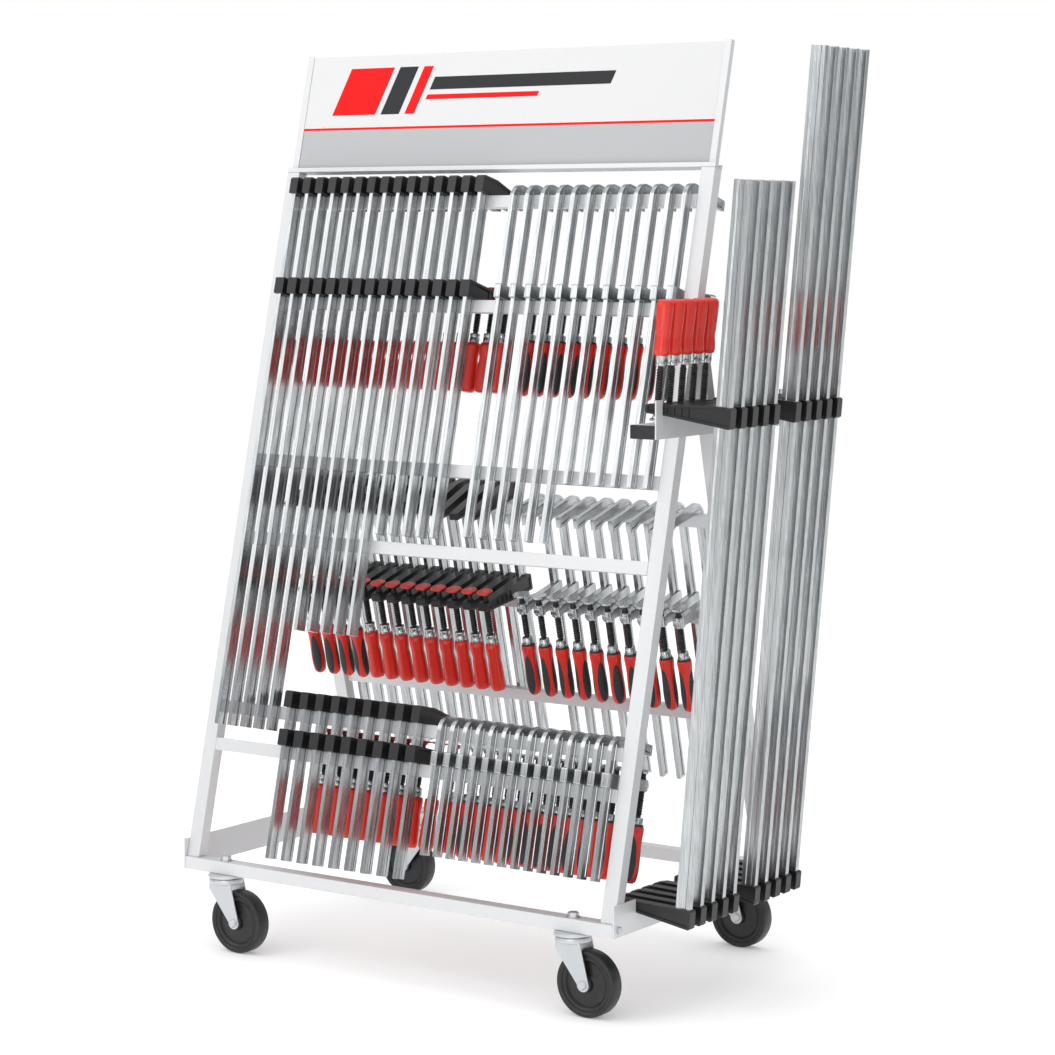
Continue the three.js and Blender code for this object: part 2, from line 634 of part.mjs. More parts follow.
// The sliding jaw's seat is at z = 0
function longSlidingJaw() {
  const crown = LONG_JAW_HEIGHT - LONG_JAW_TAPER + LONG_SLIDE_CROWN;
  const outline = outlineShape([
    [longTip, 0], [slideSeatX, 0], [longHead, -LONG_JAW_TAPER],
    [longHead, crown], [LONG_BAR_OFFSET - JAW_LIP, crown], [longTip, LONG_TIP_HEIGHT],
  ]);
  const body = prismY(outline, -LONG_JAW_THICK / 2, LONG_JAW_THICK / 2);
  return cutFrom(body, longSlot(-LONG_JAW_HEIGHT, 2 * LONG_JAW_HEIGHT));
}

const longGrip = LONG_TIP_HEIGHT + LONG_FREE_THREAD;
const longPadFoot = -PAD_RISE / 2 - PAD_THICK;

function longRowSpindle() {
  const end = longGrip + CAST_HANDLE_LENGTH;
  return turnedZ([
    [0, LONG_TIP_HEIGHT / 2], [SPINDLE_RADIUS, LONG_TIP_HEIGHT / 2], [SPINDLE_RADIUS, longGrip],
    [CAST_HANDLE_RADIUS, longGrip + FERRULE_LENGTH], [CAST_HANDLE_RADIUS, end], [0, end],
  ], ROW_SIDES).translate(longSpindleX, 0, 0);
}

function longGroup(y) {
  const group = new THREE.Group();
  group.position.set(RACK_WIDTH - SIDE_PLATE_THICK / 2, y, PLATE_SEAT_HEIGHT);
  group.rotation.y = longLean;
  group.updateMatrix();
  return group;
}

const longFirstY = FRONT_UPSTAND + SEAT_GAP + LONG_JAW_THICK / 2;
const longFrontYs = evenXs(longFirstY, LONG_PITCH, LONG_GROUP_COUNT);
const longRearFirst = longFrontYs.at(-1) + LONG_GROUP_GAP;
const longRearYs = fillingXs(longRearFirst, notchEnd - LONG_JAW_THICK / 2, LONG_PITCH)
  .map((_, i) => longRearFirst + i * LONG_PITCH);

function longBarsAt(y, length) {
  const place = longGroup(y).matrix;
  return [longFixedJaw(), longBar(length)]
    .map((piece) => piece.translate(0, 0, -FUSE_DEPTH).applyMatrix4(place));
}

function longJawsAt(y) {
  const place = longGroup(y).matrix;
  return [longSlidingJaw(), longRowSpindle()]
    .map((piece) => piece.translate(0, 0, slideSeatZ - FUSE_DEPTH).applyMatrix4(place));
}

function addLooseLongClamp(base, name, y) {
  const group = longGroup(y);
  const fixed = new THREE.Group();
  fixed.position.z = SEAT_GAP;
  const foot = JAW_LIP - LONG_JAW_TAPER - SEAT_GAP;
  addPiece(fixed, `${name}_bar`, longBar(LONG_BAR_FRONT), zinc);
  const jaw = cutFrom(longFixedJaw(), longSlot(foot, LONG_JAW_HEIGHT));
  addPiece(fixed, `${name}_fixed_jaw`, jaw, blackIron);
  const sliding = new THREE.Group();
  sliding.position.z = slideSeatZ + SEAT_GAP;
  const hole = spindleHole(LONG_JAW_HEIGHT).translate(longSpindleX, 0, 0);
  addPiece(sliding, `${name}_sliding_jaw`, cutFrom(longSlidingJaw(), hole), blackIron);
  const screw = new THREE.Group();
  screw.position.x = longSpindleX;
  screw.rotation.x = Math.PI;
  const top = -longPadFoot;
  addPiece(screw, `${name}_spindle`, clampSpindle(top, -longGrip - SPINDLE_TANG), blackIron);
  addPiece(screw, `${name}_pad`, clampPad(top), zinc);
  const handle = clampHandle(CAST_HANDLE_LENGTH, CAST_HANDLE_RADIUS);
  addPiece(screw, `${name}_handle`, handle, redPlastic).position.z = -longGrip;
  sliding.add(screw);
  group.add(fixed, sliding);
  base.add(group);
}

// Support arm: a capped tube along the right side with a notched flange outside it
function addSupportArm(base) {
  const arm = new THREE.Group();
  arm.position.z = ARM_HEIGHT;
  const armBack = notchEnd + ARM_CAP_THICK + REAR_UPSTAND / 2;
  const tubeFront = ARM_FRONT + ARM_CAP_THICK + SEAT_GAP;
  const tubeBack = armBack - ARM_CAP_THICK - SEAT_GAP;
  const right = armInner + ARM_TUBE_WIDTH;
  const outside = box(armInner, right, tubeFront, tubeBack, 0, ARM_TUBE_HEIGHT);
  const inside = box(armInner + TUBE_WALL, right - TUBE_WALL, tubeFront - CUT_PAST, tubeBack + CUT_PAST,
    TUBE_WALL, ARM_TUBE_HEIGHT - TUBE_WALL);
  addPiece(arm, 'support_arm_tube', cutFrom(outside, inside), paint);
  const cap = (y) => box(armInner, right, y, y + ARM_CAP_THICK, 0, ARM_TUBE_HEIGHT);
  addPiece(arm, 'support_arm_front_cap', cap(ARM_FRONT), capBlack);
  addPiece(arm, 'support_arm_rear_cap', cap(armBack - ARM_CAP_THICK), capBlack);
  base.add(arm);
  const flange = notchedPlate(ARM_FRONT, armBack, ARM_PLATE_HEIGHT, ARM_SEAT_RISE, ARM_PLATE_THICK)
    .translate(armPlateInner - armInner, 0, ARM_HEIGHT);
  const jawYs = [...longFrontYs.slice(1), ...longRearYs];
  const jaws = joined([flange, ...jawYs.flatMap(longJawsAt)]);
  addPiece(base, 'support_arm_plate_and_jaws', meshGeometry(jaws), blackIron);
}

function addBase(rack) {
  const base = new THREE.Group();
  base.position.z = CASTER_HEIGHT;
  const frontXs = [FRONT_CASTER_INSET, RACK_WIDTH - FRONT_CASTER_INSET];
  const rearXs = [REAR_CASTER_INSET, RACK_WIDTH - REAR_CASTER_INSET];
  addPiece(base, 'base_front_rail', baseTube(frontXs), paint);
  const rear = addPiece(base, 'base_rear_rail', baseTube(rearXs), paint);
  rear.position.y = BASE_DEPTH - BASE_TUBE_DEPTH;
  addPiece(base, 'left_side_plate', plainSidePlate(), paint);
  const plate = notchedPlate(0, BASE_DEPTH, SIDE_PLATE_HEIGHT, PLATE_SEAT_HEIGHT, SIDE_PLATE_THICK);
  const bars = joined([
    plate,
    ...longFrontYs.slice(1).flatMap((y) => longBarsAt(y, LONG_BAR_FRONT)),
    ...longRearYs.flatMap((y) => longBarsAt(y, LONG_BAR_REAR)),
  ]);
  addPiece(base, 'right_side_plate_and_long_bars', meshGeometry(bars), zinc);
  addLooseLongClamp(base, 'long_clamp', longFirstY);
  addSupportArm(base);
  const legRight = RACK_WIDTH - postInner;
  addPiece(base, 'rear_left_leg', rearLeg(), paint).position.x = postOuter;
  addPiece(base, 'rear_right_leg', rearLeg(), paint).position.x = legRight;
  rack.add(base);
  const frontY = BASE_TUBE_DEPTH / 2;
  const rearY = BASE_DEPTH - BASE_TUBE_DEPTH / 2;
  addCaster(rack, 'front_left', frontXs[0], frontY, 0);
  addCaster(rack, 'front_right', frontXs[1], frontY, 0);
  addCaster(rack, 'rear_left', rearXs[0], rearY, Math.PI);
  addCaster(rack, 'rear_right', rearXs[1], rearY, 0);
}

// Sign: a tray on the post tops, two channels standing in it and a panel slid in from above
function addSign(face) {
  const sign = new THREE.Group();
  sign.position.z = postTop + SEAT_GAP;
  const tray = outlineShape([
    [0, 0], [SIGN_TRAY_DEPTH, 0], [SIGN_TRAY_DEPTH, SIGN_TRAY_HEIGHT],
    [SIGN_TRAY_DEPTH - SIGN_WALL, SIGN_TRAY_HEIGHT], [SIGN_TRAY_DEPTH - SIGN_WALL, SIGN_WALL],
    [SIGN_WALL, SIGN_WALL], [SIGN_WALL, SIGN_TRAY_HEIGHT], [0, SIGN_TRAY_HEIGHT],
  ]);
  addPiece(sign, 'sign_rail', prismX(tray, postOuter, RACK_WIDTH - postOuter), paint);
  const foot = SIGN_WALL + SEAT_GAP;
  const front = (SIGN_TRAY_DEPTH - SIGN_CHANNEL_DEPTH) / 2;
  const back = front + SIGN_CHANNEL_DEPTH;
  const channelLeft = postOuter + SIGN_INSET;
  const channel = cutFrom(
    box(0, SIGN_CHANNEL_WIDTH, front, back, foot, foot + SIGN_HEIGHT),
    box(SIGN_WALL, SIGN_CHANNEL_WIDTH + CUT_PAST, front + SIGN_WALL, back - SIGN_WALL, 0, 2 * SIGN_HEIGHT));
  addPiece(sign, 'sign_channel_left', channel, paint).position.x = channelLeft;
  const right = addPiece(sign, 'sign_channel_right', channel.clone(), paint);
  right.rotation.z = Math.PI;
  right.position.set(RACK_WIDTH - channelLeft, front + back, 0);
  const panelLeft = channelLeft + SIGN_WALL + SEAT_GAP;
  const panelFront = front + SIGN_WALL + SEAT_GAP;
  const panel = box(panelLeft, RACK_WIDTH - panelLeft, panelFront, panelFront + SIGN_THICK,
    foot, foot + SIGN_HEIGHT - SIGN_TOP_MARGIN);
  addPiece(sign, 'sign_panel', panel, signWhite);
  face.add(sign);
}

function addFrontFace(rack) {
  const face = new THREE.Group();
  face.position.z = CASTER_HEIGHT;
  face.rotation.x = -lean;
  addPiece(face, 'front_left_post', frontPost(), paint).position.x = postOuter;
  addPiece(face, 'front_right_post', frontPost(), paint).position.x = RACK_WIDTH - postInner;
  addPiece(face, 'middle_rail_high', rail(MIDDLE_RAIL_HEIGHT), paint);
  addPiece(face, 'middle_rail_low', rail(MIDDLE_RAIL_HEIGHT - MIDDLE_RAIL_DROP), paint);
  const upperJawTop = UPPER_HOOK_HEIGHT - UPPER_JAW_DROP;
  addRow(face, 'upper', UPPER_HOOK_HEIGHT, upperJawTop, {
    castXs: upperCastXs.slice(0, -1), castLength: upperCastLength,
    steelXs: upperSteelXs.slice(0, -1), steelLength: upperSteelLength,
  });
  addLooseClamp(face, 'cast_clamp', castKind, upperCastXs.at(-1), UPPER_HOOK_HEIGHT, upperJawTop,
    castBar(upperCastLength(UPPER_CAST_COUNT - 1)), castFixedJaw());
  addLooseClamp(face, 'steel_clamp', steelKind, upperSteelXs.at(-1), UPPER_HOOK_HEIGHT, upperJawTop,
    steelBar(upperSteelLength(upperSteelXs.length - 1)), null);
  addRow(face, 'lower', LOWER_HOOK_HEIGHT, LOWER_HOOK_HEIGHT - LOWER_JAW_DROP, {
    castXs: lowerCastXs, castLength: () => LOWER_CAST_BAR,
    steelXs: lowerSteelXs, steelLength: () => LOWER_STEEL_BAR,
  });
  addSign(face);
  rack.add(face);
}

// The rear face is the front one turned about: x runs from right to left, y forwards
function addRearFace(rack) {
  const turned = new THREE.Group();
  turned.position.set(RACK_WIDTH, rearFootY, CASTER_HEIGHT);
  turned.rotation.z = Math.PI;
  const face = new THREE.Group();
  face.rotation.x = -lean;
  addPiece(face, 'rear_low_rail', rail(REAR_LOW_RAIL_HEIGHT), paint);
  addRow(face, 'rear', REAR_HOOK_HEIGHT, REAR_HOOK_HEIGHT - REAR_JAW_DROP, {
    castXs: rearCastXs, castLength: () => REAR_BAR,
    steelXs: rearSteelXs, steelLength: () => REAR_BAR,
  });
  turned.add(face);
  rack.add(turned);
}

const rack = new THREE.Group();
addBase(rack);
addFrontFace(rack);
addRearFace(rack);

// The origin is on the floor, under the middle of the whole object
rack.updateMatrixWorld(true);
const bounds = new THREE.Box3().setFromObject(rack, true);
const middle = bounds.getCenter(new THREE.Vector3());
rack.position.set(-middle.x, -middle.y, -bounds.min.z);

export default rack;
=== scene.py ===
"""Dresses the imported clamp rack: finished frame tubes, casters, sign and every hung clamp."""
import math

import bpy
from mathutils import Matrix, Vector


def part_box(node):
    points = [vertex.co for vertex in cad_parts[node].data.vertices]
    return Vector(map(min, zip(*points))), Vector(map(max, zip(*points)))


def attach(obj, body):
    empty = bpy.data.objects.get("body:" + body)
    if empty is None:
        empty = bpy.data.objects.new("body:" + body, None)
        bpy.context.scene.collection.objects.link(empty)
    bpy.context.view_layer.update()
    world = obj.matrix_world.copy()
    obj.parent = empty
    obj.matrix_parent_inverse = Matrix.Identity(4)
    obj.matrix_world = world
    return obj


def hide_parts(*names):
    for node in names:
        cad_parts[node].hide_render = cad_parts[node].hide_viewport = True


bl_info = {
    "name": "Clamp rack",
    "version": (1, 0, 0),
    "blender": (4, 5, 0),
    "location": "View3D > Sidebar > Rack",
    "description": "Models the finish of a rolling clamp rack over its packed frame",
    "category": "Object",
}

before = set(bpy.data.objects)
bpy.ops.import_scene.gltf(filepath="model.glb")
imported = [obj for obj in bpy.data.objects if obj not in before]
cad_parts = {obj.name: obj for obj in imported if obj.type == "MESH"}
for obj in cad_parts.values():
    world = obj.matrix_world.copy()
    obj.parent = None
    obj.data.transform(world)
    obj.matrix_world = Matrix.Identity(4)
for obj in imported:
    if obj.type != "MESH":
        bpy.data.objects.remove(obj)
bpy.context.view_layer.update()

MM = 0.001
SEAT_GAP = 0.3 * MM
PLATE_LOW, PLATE_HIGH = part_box("left_side_plate")
CORNER = Vector(PLATE_LOW)
PLATE_THICK = PLATE_HIGH[0] - PLATE_LOW[0]
RACK_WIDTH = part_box("base_front_rail")[1][0] + PLATE_THICK + SEAT_GAP - CORNER.x
BASE_DEPTH = PLATE_HIGH[1] - PLATE_LOW[1]
MERGE_MADE = 0.01 * MM
MERGE_CAD = 0.02 * MM
FLAT_ANGLE = math.radians(1)
START_RADIUS = 100 * MM
FACING = 0.9
POCKET_DRAFT = 0.35
FIELD_LOW, FIELD_HIGH = 0.3, 0.7


class RackSizes(bpy.types.PropertyGroup):
    """Sizes of the rack and its clamps that the frame's boxes don't give."""

    lean: bpy.props.FloatProperty(
        name="Lean", description="Slope of the front and rear faces from upright",
        default=math.radians(13.86), subtype="ANGLE")
    long_lean: bpy.props.FloatProperty(
        name="Long clamp lean", description="Slope of the long clamps out to the right",
        default=math.radians(4.87), subtype="ANGLE")
    post_width: bpy.props.FloatProperty(
        name="Post width", description="Width of a post across the front",
        default=30 * MM, unit="LENGTH")
    rail_height: bpy.props.FloatProperty(
        name="Rail height", description="Height of a rail up the slope",
        default=25 * MM, unit="LENGTH")
    rail_depth: bpy.props.FloatProperty(
        name="Rail depth", description="Depth of a rail into the rack",
        default=15 * MM, unit="LENGTH")
    upper_hook: bpy.props.FloatProperty(
        name="Upper hook rail", description="Top of the upper hook rail up the slope",
        default=1380 * MM, unit="LENGTH")
    upper_drop: bpy.props.FloatProperty(
        name="Upper jaw drop", description="Upper hook rail's top to the jaw rail's top",
        default=208 * MM, unit="LENGTH")
    lower_hook: bpy.props.FloatProperty(
        name="Lower hook rail", description="Top of the lower hook rail up the slope",
        default=344 * MM, unit="LENGTH")
    lower_drop: bpy.props.FloatProperty(
        name="Lower jaw drop", description="Lower hook rail's top to the jaw rail's top",
        default=76 * MM, unit="LENGTH")
    rear_hook: bpy.props.FloatProperty(
        name="Rear hook rail", description="Top of the rear hook rail up the slope",
        default=758 * MM, unit="LENGTH")
    rear_drop: bpy.props.FloatProperty(
        name="Rear jaw drop", description="Rear hook rail's top to the jaw rail's top",
        default=198 * MM, unit="LENGTH")
    rear_inset: bpy.props.FloatProperty(
        name="Rear leg inset", description="Rear leg's outer face to the base's back edge",
        default=49 * MM, unit="LENGTH")
    thread_pitch: bpy.props.FloatProperty(
        name="Thread pitch", description="Distance between two ridges of a spindle's thread",
        default=5 * MM, unit="LENGTH")
    tube_bevel: bpy.props.FloatProperty(
        name="Tube bevel", description="Rounding of the frame tubes' edges",
        default=1.6 * MM, unit="LENGTH")


class RackColours(bpy.types.PropertyGroup):
    """Base colours of the finishes, in linear values."""

    paint: bpy.props.FloatVectorProperty(
        name="Frame paint", description="Silver-grey powder coat of the frame",
        default=(0.31, 0.315, 0.32), subtype="COLOR")
    zinc: bpy.props.FloatVectorProperty(
        name="Zinc plate", description="Bright plating of bars and hooks",
        default=(0.53, 0.55, 0.56), subtype="COLOR")
    iron: bpy.props.FloatVectorProperty(
        name="Black casting", description="Black enamel of the cast jaws",
        default=(0.008, 0.008, 0.009), subtype="COLOR")
    handle: bpy.props.FloatVectorProperty(
        name="Handle red", description="Signal red of the handles",
        default=(0.97, 0.004, 0.005), subtype="COLOR")
    grip: bpy.props.FloatVectorProperty(
        name="Grip insert", description="Dark grey of the soft grip inserts",
        default=(0.030, 0.031, 0.034), subtype="COLOR")
    wheel: bpy.props.FloatVectorProperty(
        name="Wheel black", description="Moulded black of the wheels and caps",
        default=(0.010, 0.010, 0.011), subtype="COLOR")
    sign: bpy.props.FloatVectorProperty(
        name="Sign white", description="White ground of the sign",
        default=(0.76, 0.76, 0.76), subtype="COLOR")
    sign_grey: bpy.props.FloatVectorProperty(
        name="Sign grey", description="Light grey foot of the sign",
        default=(0.50, 0.505, 0.51), subtype="COLOR")


def sizes():
    """The scene's size settings."""
    return bpy.context.scene.rack_sizes


def colours():
    """The scene's colour settings."""
    return bpy.context.scene.rack_colours


# Node helpers for the finishes


def start_material(name):
    """A node material, its Principled shader and its tree; both are None if it was made before."""
    made = bpy.data.materials.get(name)
    if made:
        return made, None, None
    made = bpy.data.materials.new(name)
    made.use_nodes = True
    nodes = made.node_tree.nodes
    return made, nodes["Principled BSDF"], made.node_tree


def noise_field(tree, scale, stretch, detail):
    """Noise on the piece's own coordinates, stretched along its axes."""
    coordinate = tree.nodes.new("ShaderNodeTexCoord")
    mapping = tree.nodes.new("ShaderNodeMapping")
    mapping.inputs["Scale"].default_value = stretch
    noise = tree.nodes.new("ShaderNodeTexNoise")
    noise.inputs["Scale"].default_value = scale
    noise.inputs["Detail"].default_value = detail
    tree.links.new(coordinate.outputs["Object"], mapping.inputs["Vector"])
    tree.links.new(mapping.outputs["Vector"], noise.inputs["Vector"])
    return noise.outputs["Fac"]


def ramp(tree, field, low, high, dark, light):
    """A colour that runs from dark to light between two values of a field."""
    node = tree.nodes.new("ShaderNodeValToRGB")
    node.color_ramp.elements[0].position = low
    node.color_ramp.elements[1].position = high
    node.color_ramp.elements[0].color = (*dark, 1)
    node.color_ramp.elements[1].color = (*light, 1)
    tree.links.new(field, node.inputs["Fac"])
    return node.outputs["Color"]


def spread(tree, field, low, high):
    """A field's middle range mapped to the values low to high."""
    node = tree.nodes.new("ShaderNodeMapRange")
    node.inputs["From Min"].default_value = FIELD_LOW
    node.inputs["From Max"].default_value = FIELD_HIGH
    node.inputs["To Min"].default_value = low
    node.inputs["To Max"].default_value = high
    tree.links.new(field, node.inputs["Value"])
    return node.outputs["Result"]


def bump(tree, shader, field, strength, distance):
    """Fine relief from a field."""
    node = tree.nodes.new("ShaderNodeBump")
    node.inputs["Strength"].default_value = strength
    node.inputs["Distance"].default_value = distance
    tree.links.new(field, node.inputs["Height"])
    tree.links.new(node.outputs["Normal"], shader.inputs["Normal"])


def lay_finish(tree, shader, colour, roughness, relief=None):
    """Connects a finish's colour, roughness and relief, a (field, strength, distance)."""
    tree.links.new(colour, shader.inputs["Base Color"])
    tree.links.new(roughness, shader.inputs["Roughness"])
    if relief:
        bump(tree, shader, *relief)


def shade(colour, factor):
    """A colour made darker or lighter."""
    return tuple(min(1.0, channel * factor) for channel in colour)


def frame_paint():
    """Silver-grey powder coat: a faint mottle and a fine orange-peel relief."""
    made, shader, tree = start_material("frame_paint")
    if shader:
        base = colours().paint
        mottle = noise_field(tree, 9, (1, 1, 1), 4)
        peel = noise_field(tree, 900, (1, 1, 1), 2)
        lay_finish(tree, shader,
                   ramp(tree, mottle, 0.3, 0.7, shade(base, 0.95), shade(base, 1.04)),
                   spread(tree, peel, 0.36, 0.46), (peel, 0.06, 0.0004))
        shader.inputs["Metallic"].default_value = 0.1
    return made


def zinc_plate(name="zinc_plate", across_y=0.5):
    """Bright zinc with drawing lines along the bars and patches of duller plating."""
    made, shader, tree = start_material(name)
    if shader:
        base = colours().zinc
        lines = noise_field(tree, 60, (9, across_y, 0.25), 3)
        patches = noise_field(tree, 7, (1, 1, 0.5), 4)
        lay_finish(tree, shader,
                   ramp(tree, lines, 0.34, 0.66, shade(base, 0.72), shade(base, 1.12)),
                   spread(tree, patches, 0.15, 0.28), (lines, 0.08, 0.0003))
        shader.inputs["Metallic"].default_value = 0.95
    return made


def cast_black():
    """Black enamel over sand casting: a grainy skin with soft sheen."""
    made, shader, tree = start_material("cast_black")
    if shader:
        base = colours().iron
        grain = noise_field(tree, 420, (1, 1, 1), 5)
        dust = noise_field(tree, 14, (1, 1, 1), 4)
        lay_finish(tree, shader,
                   ramp(tree, dust, 0.32, 0.75, base, shade(base, 1.9)),
                   spread(tree, grain, 0.28, 0.42), (grain, 0.25, 0.0006))
    return made


def black_thread():
    """Oiled black steel of the spindles."""
    made, shader, tree = start_material("black_thread")
    if shader:
        oil = noise_field(tree, 120, (1, 1, 1), 3)
        lay_finish(tree, shader,
                   ramp(tree, oil, 0.3, 0.7, (0.016, 0.016, 0.017), (0.045, 0.046, 0.048)),
                   spread(tree, oil, 0.26, 0.42))
        shader.inputs["Metallic"].default_value = 0.6
    return made


def handle_red():
    """Glossy red lacquer with faint flow marks."""
    made, shader, tree = start_material("handle_red")
    if shader:
        base = colours().handle
        flow = noise_field(tree, 30, (1, 1, 0.4), 3)
        lay_finish(tree, shader,
                   ramp(tree, flow, 0.3, 0.7, shade(base, 0.88), shade(base, 1.08)),
                   spread(tree, flow, 0.24, 0.34), (flow, 0.03, 0.0005))
        shader.inputs["Specular IOR Level"].default_value = 0.12
    return made


def grip_rubber():
    """Soft dark grip inserts with a fine moulded texture."""
    made, shader, tree = start_material("grip_rubber")
    if shader:
        base = colours().grip
        dots = noise_field(tree, 700, (1, 1, 1), 1)
        lay_finish(tree, shader,
                   ramp(tree, dots, 0.35, 0.7, shade(base, 0.85), shade(base, 1.25)),
                   spread(tree, dots, 0.55, 0.72), (dots, 0.2, 0.0005))
    return made


def wheel_plastic():
    """Moulded black wheel, duller where it has rolled."""
    made, shader, tree = start_material("wheel_plastic")
    if shader:
        base = colours().wheel
        scuff = noise_field(tree, 80, (1, 1, 1), 5)
        lay_finish(tree, shader,
                   ramp(tree, scuff, 0.35, 0.8, base, shade(base, 2.2)),
                   spread(tree, scuff, 0.3, 0.48), (scuff, 0.08, 0.0004))
    return made


def long_bar_zinc():
    """Zinc of the long clamps' bars, with lines on all four sides, as they stand upright."""
    return zinc_plate("zinc_plate_long", across_y=9)


def caster_zinc():
    """Zinc-plated pressing with a cool satin sheen."""
    made, shader, tree = start_material("caster_zinc")
    if shader:
        base = colours().zinc
        spangle = noise_field(tree, 55, (1, 1, 1), 4)
        lay_finish(tree, shader,
                   ramp(tree, spangle, 0.3, 0.7, shade(base, 0.9), shade(base, 1.12)),
                   spread(tree, spangle, 0.3, 0.42), (spangle, 0.05, 0.0004))
        shader.inputs["Metallic"].default_value = 0.8
    return made


def sign_print(name, colour):
    """Printed panel: an even ink with a faint satin texture."""
    made, shader, tree = start_material(name)
    if shader:
        ink = noise_field(tree, 260, (1, 1, 1), 2)
        lay_finish(tree, shader,
                   ramp(tree, ink, 0.3, 0.7, shade(colour, 0.985), shade(colour, 1.01)),
                   spread(tree, ink, 0.3, 0.38), (ink, 0.02, 0.0002))
        shader.inputs["Specular IOR Level"].default_value = 0.15
    return made


# Modelling helpers


def deselect():
    """Leaves edit mode and selects nothing."""
    if bpy.context.object and bpy.context.object.mode != "OBJECT":
        bpy.ops.object.mode_set(mode="OBJECT")
    bpy.ops.object.select_all(action="DESELECT")


def choose(piece):
    """Makes one piece the only selected and active object."""
    deselect()
    piece.select_set(True)
    bpy.context.view_layer.objects.active = piece


def recalculated(piece):
    """Merges doubles and turns the faces outwards."""
    choose(piece)
    bpy.ops.object.mode_set(mode="EDIT")
    bpy.ops.mesh.select_all(action="SELECT")
    bpy.ops.mesh.remove_doubles(threshold=MERGE_MADE)
    bpy.ops.mesh.normals_make_consistent(inside=False)
    bpy.ops.object.mode_set(mode="OBJECT")
    return piece


def slab(name, outline, thick):
    """An outline of (y, z) points run through a thickness across X, its middle at x = 0."""
    deselect()
    bpy.ops.mesh.primitive_circle_add(vertices=len(outline), radius=START_RADIUS, fill_type="NGON")
    piece = bpy.context.object
    piece.name = name
    for vertex, (y, z) in zip(piece.data.vertices, outline):
        vertex.co = (-thick / 2, y, z)
    bpy.ops.object.mode_set(mode="EDIT")
    bpy.ops.mesh.select_all(action="SELECT")
    bpy.ops.mesh.extrude_region_move(TRANSFORM_OT_translate={"value": (thick, 0, 0)})
    bpy.ops.object.mode_set(mode="OBJECT")
    return recalculated(piece)


def turned(name, profile, sides):
    """A profile of (radius, z) points turned about the Z axis, closed at both ends."""
    deselect()
    radius, z = profile[0]
    bpy.ops.mesh.primitive_circle_add(vertices=sides, radius=radius, fill_type="NGON")
    piece = bpy.context.object
    piece.name = name
    for vertex in piece.data.vertices:
        vertex.co.z = z
    bpy.ops.object.mode_set(mode="EDIT")
    bpy.ops.mesh.select_all(action="SELECT")
    for next_radius, next_z in profile[1:]:
        bpy.ops.mesh.extrude_region_move(TRANSFORM_OT_translate={"value": (0, 0, next_z - z)})
        grow = next_radius / radius
        bpy.ops.transform.resize(value=(grow, grow, 1))
        radius, z = next_radius, next_z
    bpy.ops.object.mode_set(mode="OBJECT")
    return recalculated(piece)


def block(name, low, high):
    """A box between two corners."""
    deselect()
    bpy.ops.mesh.primitive_cube_add(size=1)
    piece = bpy.context.object
    piece.name = name
    for vertex in piece.data.vertices:
        vertex.co = [low[i] + (vertex.co[i] + 0.5) * (high[i] - low[i]) for i in range(3)]
    return piece


def rounded(piece, width, segments=2, angle=32):
    """Rounds a piece's sharp edges; its flat faces keep an even shade."""
    choose(piece)
    bpy.ops.object.modifier_add(type="BEVEL")
    modifier = piece.modifiers[-1]
    modifier.width = width
    modifier.segments = segments
    modifier.limit_method = "ANGLE"
    modifier.angle_limit = math.radians(angle)
    modifier.use_clamp_overlap = True
    bpy.ops.object.modifier_apply(modifier=modifier.name)
    bpy.ops.object.shade_smooth_by_angle(angle=math.radians(angle))
    bpy.ops.object.modifier_add(type="WEIGHTED_NORMAL")
    modifier = piece.modifiers[-1]
    modifier.keep_sharp = True
    bpy.ops.object.modifier_apply(modifier=modifier.name)
    return piece


def smooth(piece, angle=38):
    """Smooth shading up to an angle between faces."""
    choose(piece)
    bpy.ops.object.shade_smooth_by_angle(angle=math.radians(angle))
    return piece


def cut(piece, cutter):
    """Cuts one piece's form out of another and removes the cutter."""
    choose(piece)
    bpy.ops.object.modifier_add(type="BOOLEAN")
    modifier = piece.modifiers[-1]
    modifier.operation = "DIFFERENCE"
    modifier.object = cutter
    bpy.ops.object.modifier_apply(modifier=modifier.name)
    bpy.data.objects.remove(cutter)
    return piece


def coffered(piece, rim, depth):
    """Sinks a pocket into both flat sides of a slab, as in an I-section casting."""
    choose(piece)
    bpy.ops.object.mode_set(mode="EDIT")
    bpy.ops.mesh.select_mode(type="FACE")
    bpy.ops.mesh.select_all(action="DESELECT")
    bpy.ops.object.mode_set(mode="OBJECT")
    for face in piece.data.polygons:
        face.select = abs(face.normal.x) > FACING
    bpy.ops.object.mode_set(mode="EDIT")
    bpy.ops.mesh.inset(thickness=rim)
    bpy.ops.mesh.inset(thickness=depth * POCKET_DRAFT, depth=-depth)
    bpy.ops.object.mode_set(mode="OBJECT")
    return piece


def ribbed(jaw, thick, ys, low, high):
    """Sets upright ribs across a casting's pockets, a little below its rims."""
    half = thick / 2 - RIB_SUNK
    ribs = [block("rib", (-half, y, low), (half, y + RIB_WIDTH, high)) for y in ys]
    return joined([jaw, *ribs], jaw.name)


def joined(pieces, name):
    """Several pieces as one object."""
    deselect()
    for piece in pieces:
        piece.select_set(True)
    bpy.context.view_layer.objects.active = pieces[0]
    if len(pieces) > 1:
        bpy.ops.object.join()
    pieces[0].name = name
    return pieces[0]


def copies(master, places, name):
    """One copy of a master at each place, each with its own mesh, joined in one object."""
    made = []
    for place in places:
        copy = master.copy()
        copy.data = master.data.copy()
        copy.data.transform(place)
        bpy.context.collection.objects.link(copy)
        made.append(copy)
    return joined(made, name)


def drop(*masters):
    """Removes masters once their copies are placed."""
    for master in masters:
        bpy.data.objects.remove(master)


